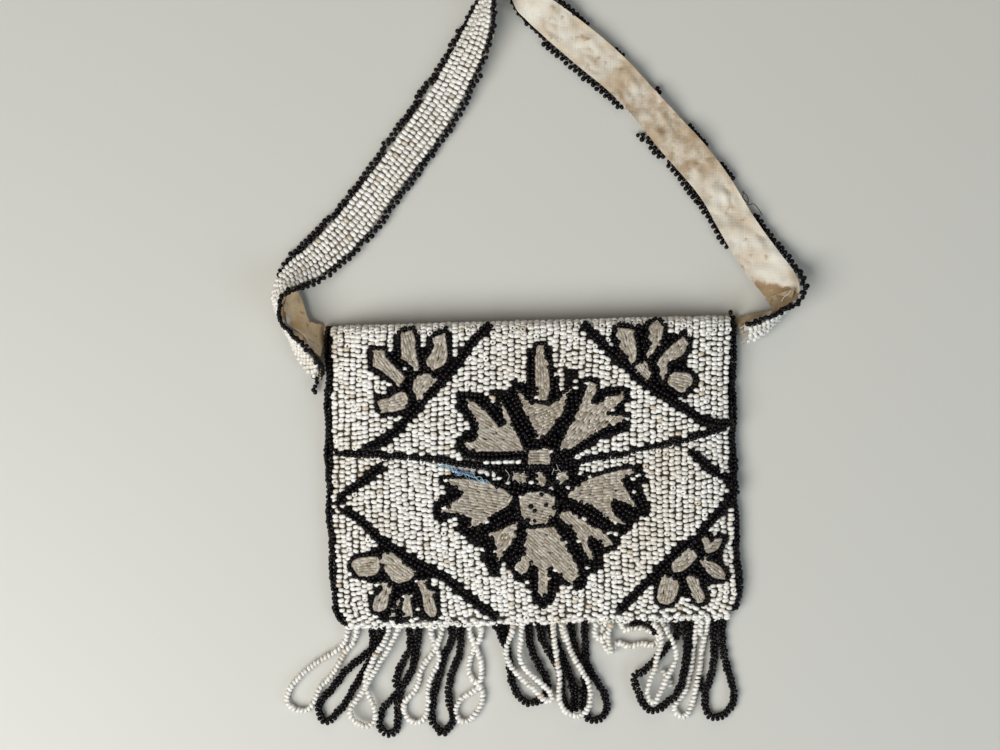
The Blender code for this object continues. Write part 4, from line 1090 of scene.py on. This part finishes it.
def strap_spot(pixels):
    """A place in the photograph, on the table beside the strap."""
    spots = upright(pixels)
    top = upright((MIDDLE_PIXEL[0], STRAP_TOP_PIXEL))[1]
    end = upright((MIDDLE_PIXEL[0], STRAP_END_PIXEL))[1]
    seat = on_body((MIDDLE_PIXEL[0], STRAP_END_PIXEL))[1]
    return np.stack([spots[..., 0] * PIXEL, seat + (spots[..., 1] - end) / (top - end) * STRAP_RISE], -1)


def strap_line():
    """The strap's middle, width direction and beaded face, close together along its length."""
    x, y = strap_spot([p[:2] for p in STRAP_PIXELS]).T
    for k, side in ((0, -1), (-1, 1)):
        v = (y[k] - BOTTOM) / HEIGHT
        x[k] = side * half_width(v) + sway(v) + side * STRAP_OFF_SEAM
    roll = np.radians([p[2] for p in STRAP_PIXELS])
    swing = unit(np.array([x[0] - x[-1], y[0] - y[-1], 0]))
    line = even(smooth(np.stack([x, y, roll * STRAP_WIDTH], 1)), count=STRAP_ROWS)
    rolls = line[:, 2] / STRAP_WIDTH
    line[:, 2] = 0
    way = unit(np.gradient(line, axis=0))
    way[0] = way[-1] = swing
    inward = np.stack([way[:, 1], -way[:, 0], np.zeros(STRAP_ROWS)], 1)
    c, s = np.cos(rolls)[:, None], np.sin(rolls)[:, None]
    up = np.array([0.0, 0.0, 1.0])
    wide, faced = inward * c + up * s, up * c - inward * s
    line[:, 2] = 0.0005 + STRAP_REACH * np.abs(s[:, 0]) + STRAP_BAND / 2 * np.abs(c[:, 0])
    at = np.linspace(0, STRAP_ROWS - 1, 900)
    middle, wide, faced = (
        np.stack([np.interp(at, np.arange(STRAP_ROWS), a[:, k]) for k in range(3)], 1) for a in (line, wide, faced)
    )
    return middle, unit(wide), unit(faced)


strap_middle, strap_wide, strap_face = strap_line()
strap_run = np.concatenate([[0], np.cumsum(np.linalg.norm(np.diff(strap_middle, axis=0), axis=1))])
STRAP_LONG = strap_run[-1]


def on_strap(length, across, level):
    """A place on the strap, with its directions along, across and out of the beaded face."""
    def pick(a):
        return np.stack([np.interp(length, strap_run, a[:, k]) for k in range(3)], 1)

    wide, face = pick(strap_wide), pick(strap_face)
    place = pick(strap_middle) + wide * across[:, None] + face * level[:, None]
    along = np.cross(face, wide)
    return place, along, wide, face


def strap_length(pixel):
    """How far along the strap the middle lies nearest to a place in the photograph."""
    gap = np.linalg.norm(strap_middle[:, :2] - strap_spot(pixel), axis=1)
    return strap_run[gap.argmin()]


strap_white = Beads()
for k in range(5):
    step = ROW_STEP * (1 + rng.normal(0, 0.006))
    at = np.arange((k % 2) * step / 2 + 0.001, STRAP_LONG - 0.001, step)
    n = len(at)
    across = (k - 2) * STRAP_COLUMN_STEP + 0.0002 * np.sin(at * 160 + k) + rng.normal(0, 0.0001, n)
    place, along, wide, face = on_strap(at + rng.normal(0, 0.0001, n), across, 0.00038 + rng.normal(0, 0.00008, n))
    along, wide, face = wobble(along, wide, face, 0.15)
    strap_white.add(place, along, wide, face, np.array((0.00118, 0.00140, 0.00080)) * rng.normal(1, 0.05, (n, 1)))
strap_white.build("strap_white_beads", FINE_BEAD, white_glass, "strap", "white_beads", ("strap_beadwork",))

# Each long edge in stretches: from and to a place in the photograph, how far out it sits, how far its small loops
# of beads stand out, and what share of the loops is missing
EDGE_STRETCHES = {
    "strap_edge_inner": (1, (
        ((320, 372), (489, 2), 0.0063, 0.0011, 0.0), ((489, 2), (545, 17), 0.0063, 0.0008, 0.0),
        ((545, 17), (572, 40), 0.0064, 0.0006, 0.1), ((572, 40), (646, 112), 0.0065, 0.0001, 0.4),
        ((674, 142), (692, 164), 0.0066, 0.0001, 0.1), ((705, 179), (716, 194), 0.0066, 0.0001, 0.1),
        ((742, 224), (745, 336), 0.0065, 0.0009, 0.03), ((776, 279), (780, 311), 0.0066, 0.0009, 0.0),
    )),
    "strap_edge_outer": (-1, (
        ((286, 283), (489, 2), 0.0065, 0.0012, 0.05), ((489, 2), (526, 0), 0.0063, 0.0006, 0.0),
        ((526, 0), (556, 28), 0.0062, 0.0006, 0.1), ((556, 28), (686, 140), 0.0068, 0.0012, 0.12),
        ((689, 146), (714, 190), 0.0066, 0.0012, 0.25), ((714, 190), (748, 236), 0.0066, 0.0011, 0.05),
        ((781, 308), (745, 336), 0.0058, 0.0006, 0.6),
    )),
}
for name, (side, stretches) in EDGE_STRETCHES.items():
    beads = Beads()
    for first, last, sits, stands, missing in stretches:
        low, high = strap_length(first), strap_length(last)
        looped = stands > 0.0005
        at = np.arange(low, high, 0.00100 if looped else 0.00142)
        n = len(at)
        clump = np.cumsum(rng.random(n) < 0.22)
        keep = rng.random(clump[-1] + 1)[clump] >= missing
        loose = rng.normal(0, 0.0003, clump[-1] + 1)[clump] * looped
        across = side * (sits + stands * (np.arange(n) % 2) + loose + rng.normal(0, 0.00014, n))
        place, along, wide, face = on_strap(at, across, rng.normal(0, 0.0003, n))
        along, wide, face = wobble(along, wide, face, 0.5)
        sizes = np.array(BLACK_ROUND) * rng.normal(1, 0.07, (n, 1))
        beads.add(place[keep], along[keep], wide[keep], face[keep], sizes[keep])
    beads.build(name + "_beads", FINE_BEAD, black_glass, "strap", "black_beads", (name,))


# Cloths and linings, as thin sheets


def grid_sheet(name, points, finish, body, nodes=()):
    """A sheet through rows of points."""
    tall, wide = points.shape[:2]
    k = np.arange(tall - 1)[:, None] * wide
    i = np.arange(wide - 1)
    faces = np.stack([k + i, k + i + 1, k + wide + i + 1, k + wide + i], -1).reshape(-1, 4)
    made = mesh_object(name, points.reshape(-1, 3), faces, None, finish)
    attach(made, body)
    if nodes:
        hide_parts(*nodes)
    return made


def blacken(sheet, pattern, places):
    """Paints near-black shade onto a cloth close to the pattern's black beads, for the gaps between them."""
    gap = np.array([np.min(((pattern.spots - place)**2).sum(1)) for place in places])
    layer = sheet.data.attributes.new("painted_shade_under_black_beads", "FLOAT", "POINT")
    layer.data.foreach_set("value", np.clip((0.0022 - np.sqrt(gap)) / 0.0007, 0, 1).astype(np.float32))


def panel_points(surface, level, high, tall=60, wide=80):
    """Rows of points over a panel, from the hem to a share of its height, at a level from its surface."""
    v = np.linspace(0, high, tall)[:, None]
    u = np.linspace(-1, 1, wide)[None]
    x = u * half_width(v) * 0.999 + sway(v)
    t = np.broadcast_to(BOTTOM + HEIGHT * v, x.shape)
    points = surface(x.ravel(), t.ravel()).reshape(*x.shape, 3)
    points[..., 2] += level
    return points


FINE_GRID = (125, 170)
mouth = (MOUTH - BOTTOM) / HEIGHT
front_cloth = grid_sheet(
    "front_ground_cloth", panel_points(front_surface, -0.0019, mouth, *FINE_GRID), shaded_beige_cloth, "pocket",
    ("front_cloth",),
)
# Painted shade on the front cloth, near black close to its black beads
blacken(front_cloth, front_pattern, panel_points(back_surface, 0, mouth, *FINE_GRID).reshape(-1, 3)[:, :2])
front_lining = grid_sheet(
    "front_silk_lining", panel_points(front_surface, -0.0025, mouth), cream_silk, "pocket",
    ("lining_front",),
)
back_cloth = grid_sheet(
    "back_ground_cloth", panel_points(back_surface, 0.0019, 1), shaded_beige_cloth, "pocket", ("back_cloth",),
)
back_lining = grid_sheet(
    "back_silk_lining", panel_points(back_surface, 0.00265, 1), cream_silk, "pocket", ("lining_back",),
)


def flap_points(lift, tall=60, wide=80, flat=False):
    """Rows of points over the flap and round its fold, or the same places laid out flat."""
    share = np.linspace(0, 1, tall)[:, None]
    u = np.linspace(-1, 1, wide)[None]
    low = flap_edge_y(u * HALF_WIDTH) + 2 * EDGE_TUBE + 0.0003
    y = low + (flap_end(u, lift) - low) * share
    x = u * HALF_WIDTH * 0.999 + sway((np.minimum(y, FOLD_START) - BOTTOM) / HEIGHT)
    if flat:
        return np.stack([x.ravel(), y.ravel()], 1)
    return flap_surface(x.ravel(), y.ravel(), lift).reshape(*x.shape, 3)


FINE_FLAP_GRID = (110, 170)
flap_cloth = grid_sheet(
    "flap_ground_cloth", flap_points(0.0011, *FINE_FLAP_GRID), shaded_beige_cloth, "flap", ("flap_cloth",),
)
# Painted shade on the flap cloth, near black close to its black beads
blacken(flap_cloth, flap_pattern, flap_points(0.0011, *FINE_FLAP_GRID, True))
flap_lining = grid_sheet(
    "flap_silk_lining", flap_points(0.00045), cream_silk, "flap", ("flap_lining",),
)

# The strap's ribbon, creased, and wider where its beads are gone
RIBBON_HALF = 0.0060
RIBBON_LEVEL = -0.00100
CREASE_DEPTH = 0.0054
CREASE_SIZES = (0.030, 0.022, 0.016, 0.012, 0.009, 0.0068, 0.0052, 0.004)
ABOVE_TABLE = 0.0003
at = np.linspace(0.0, STRAP_LONG, 700)
across = np.linspace(-1, 1, 25)
A, W = np.meshgrid(at, across, indexing="ij")
crease = np.zeros_like(A)
for size in CREASE_SIZES * 2:
    lean = rng.uniform(0, 2 * math.pi)
    ways = A * math.cos(lean) + W * RIBBON_HALF * math.sin(lean)
    crease += size**0.7 * CREASE_DEPTH * np.sin(2 * math.pi * ways / size + rng.uniform(0, 6.3) + 40 * A * rng.random())
bare = np.clip((A - strap_length((705, 179))) / 0.015, 0, 1) * (W < 0)
wander = 0.0003 * np.sin(A * 130) * W + 0.0008 * bare * W
place, _, _, _ = on_strap(A.ravel(), (W * RIBBON_HALF + wander).ravel(), (RIBBON_LEVEL - np.abs(crease)).ravel())
place[:, 2] = np.maximum(place[:, 2], ABOVE_TABLE)
ribbon = grid_sheet(
    "strap_silk_ribbon", place.reshape(*A.shape, 3), stained_silk, "strap", ("strap_lining",),
)
# Browner where it was worn, about the middle of its right half; in the fold at its lower end, painted shade
SHADED_FOLD_PIXELS = (
    (747, 275), (757, 279), (764, 283), (776, 283), (787, 289), (795, 296), (786, 308), (770, 316), (766, 308),
    (758, 296), (750, 284),
)
worn = np.clip((A - strap_length((585, 52))) / 0.02, 0, 1) * np.clip((strap_length((722, 200)) - A) / 0.012, 0, 1)
fold = strap_spot(SHADED_FOLD_PIXELS)
in_shaded_fold = inside(place[:, :2], fold) & (A.ravel() > strap_length((756, 254)))
# Painted shade: darker further into the fold, and full past its lower corner
fold_shade_depth = np.clip(off_outline(place[:, :2], fold) / 0.0018, 0, 1) + (A.ravel() > strap_length((783, 288)))
layer = ribbon.data.attributes.new("wear_and_painted_shade", "FLOAT", "POINT")
layer.data.foreach_set("value", np.maximum(np.where(in_shaded_fold, 1.6 * fold_shade_depth, 0), 0.58 * worn.ravel()).astype(np.float32))

# Loose pieces of lining that stand off the strap at its two lower folds: seam and free edge, with their heights
# The left flare takes the painted-light copy of the silk, the right flare the painted-shade copy
FLARES = (
    ("lining_flare_left", lit_lining_silk,
     ((297, 290), (288, 298), (284, 307), (283, 318), (289, 329), (303, 341), (322, 357)),
     ((300, 293), (304, 303), (306.5, 312), (310, 320.5), (317, 324.5), (323, 325), (326, 331)), (0.0152, 0.0045)),
    ("lining_flare_right", shaded_lining_silk,
     ((790, 290), (788, 299), (784, 306), (777, 312), (768, 316.5), (755, 321), (738, 331)),
     ((764, 299), (769.5, 307), (766, 311), (758, 312.5), (749, 314.5), (741, 316.5), (734, 319)), (0.0128, 0.0030)),
)
FLARE_GRID = (14, 40)
for name, finish, seam, free, (high, low) in FLARES:
    edges = [even(smooth(strap_spot(edge)), count=FLARE_GRID[1]) for edge in (seam, free)]
    rows = []
    for share in np.linspace(0, 1, FLARE_GRID[0]):
        flat = edges[0] * (1 - share) + edges[1] * share
        along = np.linspace(0, 1, FLARE_GRID[1])
        z = high + (low - high) * share**0.8 + 0.0009 * np.sin(along * 19 + share * 5) * math.sin(share * 3)
        z = z - (high - 0.0060) * np.clip(along - 0.72, 0, 1) / 0.28 * 0.7
        rows.append(np.concatenate([flat, np.maximum(z, 0.0006)[:, None]], 1))
    grid_sheet(name, np.array(rows), finish, "strap")

# Stitching that holds the strap's two ends to the edgings
for name in ("strap_stitching_left", "strap_stitching_right"):
    low, high = (np.array(corner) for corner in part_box(name))
    share = np.linspace(0, 1, 15)
    line = low + (high - low) * np.stack([
        0.5 + 0.45 * np.cos(share * 40), share, 0.5 + 0.3 * np.sin(share * 40 + 1)
    ], 1)
    made = thread(name + "_thread", even(smooth(line), THREAD_STEP), 0.00016, sewing_thread, "strap")
    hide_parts(name)

# Fringe: loops of strung beads from the hem, in three groups that swing

FRINGE_LOOPS = (
    ("white", 0, ((348, 629), (345.8, 638.3), (337.4, 649), (320.5, 658.9), (303.7, 671.9), (291.4, 685.7),
                  (286.8, 698), (291.4, 705.6), (301.4, 709.4), (309.8, 707.1), (315.2, 698), (319, 687.3),
                  (331.2, 675), (340.4, 659.7), (345, 650.5), (353.5, 641.3), (357.3, 629.1))),
    ("black", 0, ((372.5, 629.1), (373.6, 643), (368, 651.3), (355.7, 661.2), (346.5, 668.9), (335.8, 682.7),
                  (326.6, 693.4), (320.3, 701), (319.7, 711.7), (325.9, 720.9), (332.2, 717.1), (338.9, 709.4),
                  (345, 702.6), (351.1, 691.8), (360.3, 676.5), (368.5, 662.8), (376, 652), (381, 641), (382, 629))),
    ("white", 1, ((389.5, 628.3), (384, 641.3), (376.6, 652), (369.5, 667.4), (365.4, 680), (370, 695),
                  (375.5, 708), (375.6, 717.9), (368, 724), (358, 721), (351.1, 713.3), (351.1, 705.6),
                  (356.7, 698.5), (364, 688), (371, 676), (378.2, 664.3), (385.9, 652), (392, 641.3), (399, 628.3))),
    ("black", 0, ((410, 629), (410.5, 640), (410, 649), (404.2, 658), (399.1, 669), (395.5, 682), (401, 690),
                  (398, 703), (398, 718), (395.5, 730), (388, 732.5), (380, 725), (380.5, 714), (385.5, 704),
                  (394, 696), (401, 686), (408, 676), (413.5, 664), (415.5, 654), (417.5, 642), (419, 629))),
    ("white", 0, ((430.7, 627.6), (432.3, 636.7), (437, 648), (439.4, 656), (436.3, 666), (430.7, 676),
                  (427.7, 688), (428.2, 702.6), (426, 713.3), (420, 721), (410.8, 719.4), (404.2, 710.2),
                  (405.2, 699.5), (413.9, 690.8), (418.5, 681), (420, 672), (424, 663), (430, 655), (436, 646),
                  (440, 636.7), (443, 627.6))),
    ("black", 0, ((452, 626), (451.5, 640), (447.1, 648), (443, 659), (439.5, 673.5), (435, 688.8), (432.3, 706),
                  (432.3, 719), (438, 727), (443, 732), (449.1, 726), (453.4, 716.3), (450.1, 704.1), (448.6, 691.8),
                  (450.1, 679.6), (453.2, 667.4), (458.5, 656.6), (460.5, 643), (461, 626))),
    ("white", 0, ((469, 624.5), (470.5, 633.7), (474.6, 644), (479.7, 655.1), (481.7, 667), (480.5, 679),
                  (478, 687), (468, 692.8), (459.3, 699.5), (455.5, 710.2), (459.8, 719.4), (469, 718.9),
                  (478.2, 708.1), (482.5, 696.4), (481, 687), (474, 680), (469.5, 673), (468.5, 665), (470.5, 655),
                  (476, 645), (480.8, 635.2), (481, 626))),
    ("black", 0, ((499, 618), (502, 632), (507, 648), (510, 665), (511, 676), (515, 688), (521.5, 698), (530, 701.5),
                  (539, 699), (546, 692), (547, 680), (541, 668), (534, 655), (530, 641), (528, 621))),
    ("white", 1, ((513, 620), (512, 631), (507, 641), (506, 653), (510, 663), (517, 672), (527, 681), (537, 690),
                  (546, 699), (553, 696), (546, 686), (536, 677), (526, 668), (520, 656), (520, 645), (521, 633),
                  (522, 620))),
    ("black", 0, ((539, 620), (541, 634), (547, 648), (556, 662), (561, 678), (562, 694), (567, 706), (574, 709),
                  (574, 696), (572, 682), (565, 662), (556, 642), (547, 620))),
    ("white", 2, ((553, 619), (553, 632), (555, 646), (557, 660), (559, 674), (559, 688), (559, 698), (564, 707),
                  (571, 712), (579, 713), (587, 706), (590, 695), (588, 680), (579, 665), (571, 650), (566, 636),
                  (562, 620))),
    ("black", 0, ((571, 620), (572, 634), (575, 648), (580, 660), (584, 672), (585, 686), (582, 698), (584, 710),
                  (591, 719), (600, 717), (606, 709), (605, 696), (600, 685), (592, 673), (586, 660), (585, 645),
                  (584, 618))),
    ("white", 0, ((606, 619), (600, 632), (605, 645), (611, 651), (617, 641), (629, 645), (641, 642), (653, 644),
                  (658, 635), (646, 628), (634, 626), (624, 629), (620, 620))),
    ("black", 1, ((674, 620), (677, 632), (668, 643), (656, 656), (644, 668), (633, 674.6), (636, 686), (640, 696),
                  (646, 706), (656, 708), (665, 701), (675, 693), (680.5, 681), (684, 664), (686, 648), (685, 633),
                  (684, 620))),
    ("white", 2, ((650, 619), (659, 629), (660, 641), (656, 654), (653, 668), (647, 684), (648, 696), (654, 700),
                  (659, 690), (664, 678), (671, 666), (675, 656), (674, 645), (668, 632), (661, 620))),
    ("white", 0, ((697, 619), (694, 635), (692, 654), (689, 672), (684, 691), (674, 704), (677, 713), (685, 715),
                  (691, 704), (695, 688), (699, 668), (701, 650), (704, 636), (707, 620))),
    ("black", 0, ((714, 617), (712.5, 633), (713.5, 650), (712.2, 666), (708.5, 680), (704, 693), (707, 712),
                  (717, 716), (728.5, 708), (733.5, 694), (730.5, 679.6), (725.5, 663), (722.5, 646), (721, 630),
                  (722, 615))),
)
FRINGE_BITS = (
    ("black", "middle", 1, ((491, 612), (497, 622), (501, 634), (505, 644))),
    ("black", "middle", 0, ((496, 612), (505, 622), (507, 634))),
    ("black", "middle", 1, ((568, 682), (574, 685), (581, 690))),
    ("black", "right", 1, ((628, 613), (639, 617), (649, 622), (656, 632))),
    ("black", "right", 0, ((689, 618), (690, 634), (689, 650), (688, 666))),
    ("black", "right", 0, ((700, 673), (699, 681), (702, 689))),
    ("white", "middle", 1, ((561, 618), (562, 629), (565, 640))),
    ("white", "right", 1, ((596, 620), (594, 629), (597, 637), (606, 633))),
    ("white", "right", 1, ((611, 622), (607, 632), (609, 644), (611, 652))),
    ("white", "right", 0, ((668, 622), (667, 633), (671, 642))),
    ("white", "right", 0, ((661, 668), (667, 676), (671, 686))),
    ("white", "right", 1, ((702, 618), (699, 627), (700, 634))),
)
hem_level = upright((MIDDLE_PIXEL[0], HEM_PIXEL))[1]
tip_level = upright((MIDDLE_PIXEL[0], TIP_PIXEL))[1]


def fringe_place(pixels, layer, hung=True):
    """A string's course below the hem. A hung one goes up into the hem with both its ends."""
    spots = upright(pixels)
    x = spots[:, 0] * PIXEL
    y = HEM_LINE + np.minimum(-0.0006, (spots[:, 1] - hem_level) / (hem_level - tip_level) * FRINGE_LENGTH)
    z = np.full(len(x), 0.0020 + layer * 0.0020)
    points = np.stack([x, y, z], 1)
    if not hung:
        return smooth(points)
    points[0, 2] = points[-1, 2] = HEM_MIDDLE
    ends = points[[0, -1]] * (1, 0, 1) + (0, HEM_LINE + 0.0006, 0)
    return np.concatenate([ends[:1], smooth(points), ends[1:]])


def fringe_string(name, colour, line, lean, body, nodes=()):
    """One string of the fringe: slanting white beads, or two black strings wound round each other."""
    beads = Beads()
    if colour == "white":
        string_beads(
            beads, line, DISC_STEP, (DISC_ACROSS, DISC_LONG, DISC_ACROSS), 0.16, 0.06, lean * DISC_SLANT, 0.00007
        )
    else:
        paired_beads(beads, line)
    beads.build(name, FINE_BEAD, white_glass if colour == "white" else black_glass, body, colour + "_beads", nodes)


for k, (colour, layer, pixels) in enumerate(FRINGE_LOOPS):
    body = "fringe_left" if k < 7 else "fringe_middle" if k < 12 else "fringe_right"
    name = f"fringe_loop_{k + 1:02d}"
    line = fringe_place(pixels, layer)
    fringe_string(name + "_beads", colour, line, 1 if k % 4 < 2 else -1, body, (name,))
    strand = sewing_thread if colour == "white" else brown_thread
    thread(name + "_thread", even(line, LOOP_THREAD_STEP), 0.00012, strand, body)
for k, (colour, group, layer, pixels) in enumerate(FRINGE_BITS):
    fringe_string(f"fringe_short_string_{k + 1}", colour, fringe_place(pixels, layer, False), 1, "fringe_" + group)

# Loose threads and strayed beads: wear that the photograph shows


def lifted(surface, pixels, lift):
    """A smooth line over a surface, at a height above it."""
    flat = smooth(on_body(pixels))
    line = surface(flat[:, 0], flat[:, 1])
    line[:, 2] += lift
    return line


def beside_strap(pixels, first, last):
    """A smooth line beside or over the strap, going evenly from one height to another."""
    flat = smooth(strap_spot(pixels))
    return np.concatenate([flat, np.linspace(first, last, len(flat))[:, None]], 1)


for k in range(12):
    first, last = ((0.28, 0.72), (0.0, 0.5), (0.55, 1.0))[k % 3]
    share = np.linspace(first + rng.normal(0, 0.05), last + rng.normal(0, 0.05), 7)[:, None]
    line = np.array((440.0, 463.5)) * (1 - share) + np.array((486.0, 481.0)) * share
    line = line + rng.normal(0, 1, (7, 2)) * (1.6, 1.8)
    thread(
        f"blue_thread_{k + 1}", even(lifted(front_surface, line, 0.0010 + 0.0001 * k), THREAD_STEP), 0.00011,
        blue_thread if k % 3 == 0 else faded_blue_thread, "pocket",
    )
for k, pixels in enumerate((
    ((550, 460), (553, 466), (551, 473)), ((555, 461), (557, 467), (560, 471)), ((548, 464), (554, 469), (558, 468)),
    ((505, 468), (509, 474), (507, 480)), ((513, 470), (515, 477), (520, 482)), ((524, 470), (522, 477), (526, 481)),
)):
    thread(
        f"frayed_thread_{k + 1}", even(lifted(front_surface, pixels, 0.0034 - 0.0004 * (k % 3)), THREAD_STEP),
        0.00009, pale_thread, "flap",
    )
for k, pixels in enumerate((
    ((542, 480), (546, 484), (551, 483), (555, 479)), ((544, 477), (549, 480), (553, 485)),
)):
    thread(
        f"dark_thread_{k + 1}", even(lifted(front_surface, pixels, 0.0010), THREAD_STEP), 0.00010, brown_thread,
        "pocket",
    )
for k, (pixels, heights) in enumerate((
    (((741, 194), (744, 196), (747, 200), (747, 206)), (0.0034, 0.0034)),
    (((740, 205), (748, 207), (753, 206), (758, 212), (761, 217)), (0.0036, 0.0036)),
    (((743, 193), (742, 200), (747, 205)), (0.0032, 0.0032)),
    (((668, 150), (670, 155), (672, 160)), (0.0026, 0.0026)),
    (((450, 60), (463, 45), (478, 22), (490, 6), (498, -6)), (0.0042, 0.0160)),
    (((285, 317), (291, 327), (299, 333), (308, 338), (321, 347)), (0.0156, 0.0090)),
    (((286, 321), (293, 330), (306, 339), (314, 346), (321, 352)), (0.0156, 0.0096)),
    (((787, 292), (784, 296), (780, 299), (778, 303)), (0.0130, 0.0112)),
    (((738, 329), (742, 326), (748, 323), (754, 324), (757, 322)), (0.0085, 0.0150)),
)):
    thread(
        f"strap_loose_thread_{k + 1}", even(beside_strap(pixels, *heights), THREAD_STEP), 0.00015,
        pale_thread if k > 3 else brown_thread, "strap",
    )
strap_end = Beads()
for step, pixels, heights in (
    (0.00145, ((312, 376), (318, 378), (317, 384), (313, 391), (318, 392)), (0.0030, 0.0030)),
    (BLACK_STEP, ((317, 357), (321, 361), (324, 367), (324, 375)), (0.0140, 0.0062)),
    (BLACK_STEP, ((319, 362), (322, 366), (322, 373), (321, 380)), (0.0112, 0.0050)),
):
    string_beads(strap_end, beside_strap(pixels, *heights), step, BLACK_ROUND, 0.3)
strap_end.build("strap_end_black_beads", FINE_BEAD, black_glass, "strap", "black_beads")
corner = Beads()
string_beads(corner, beside_strap(((730, 314), (726, 313)), 0.0096, 0.0096), 0.0013, BLACK_ROUND, 0.3)
corner.build("corner_black_beads", FINE_BEAD, black_glass, "pocket", "black_beads")


# Table and light


def table_top():
    mesh = bpy.data.meshes.new("table_top")
    far = 6.0
    mesh.from_pydata([(-far, -far, 0), (far, -far, 0), (far, far, 0), (-far, far, 0)], [], [(0, 1, 2, 3)])
    made = bpy.data.objects.new("table_top", mesh)
    bpy.context.collection.objects.link(made)
    finish = new_material("table_paint", (0.55, 0.545, 0.512), 0.38)
    mesh.materials.append(finish)


def lamp(name, place, size, power, colour):
    data = bpy.data.lights.new(name, "AREA")
    data.shape = "DISK"
    data.size = size
    data.energy = power
    data.color = colour
    made = bpy.data.objects.new(name, data)
    bpy.context.collection.objects.link(made)
    made.location = place
    aim = Vector((0, 0.02, 0)) - Vector(place)
    made.rotation_euler = aim.to_track_quat("-Z", "Y").to_euler()


table_top()
lamp("window_lamp", (-0.66, -0.50, 1.10), 1.10, 21.7, (1.0, 0.985, 0.935))
lamp("warm_lamp", (0.10, 1.10, 1.10), 1.0, 2.4, (1.0, 0.86, 0.66))
lamp("cool_lamp", (1.00, -0.80, 1.10), 1.0, 7.0, (0.66, 0.84, 1.0))
world = bpy.data.worlds.new("studio")
world.use_nodes = True
world.node_tree.nodes["Background"].inputs["Color"].default_value = (0.95, 0.97, 1.0, 1)
world.node_tree.nodes["Background"].inputs["Strength"].default_value = 0.12
bpy.context.scene.world = world
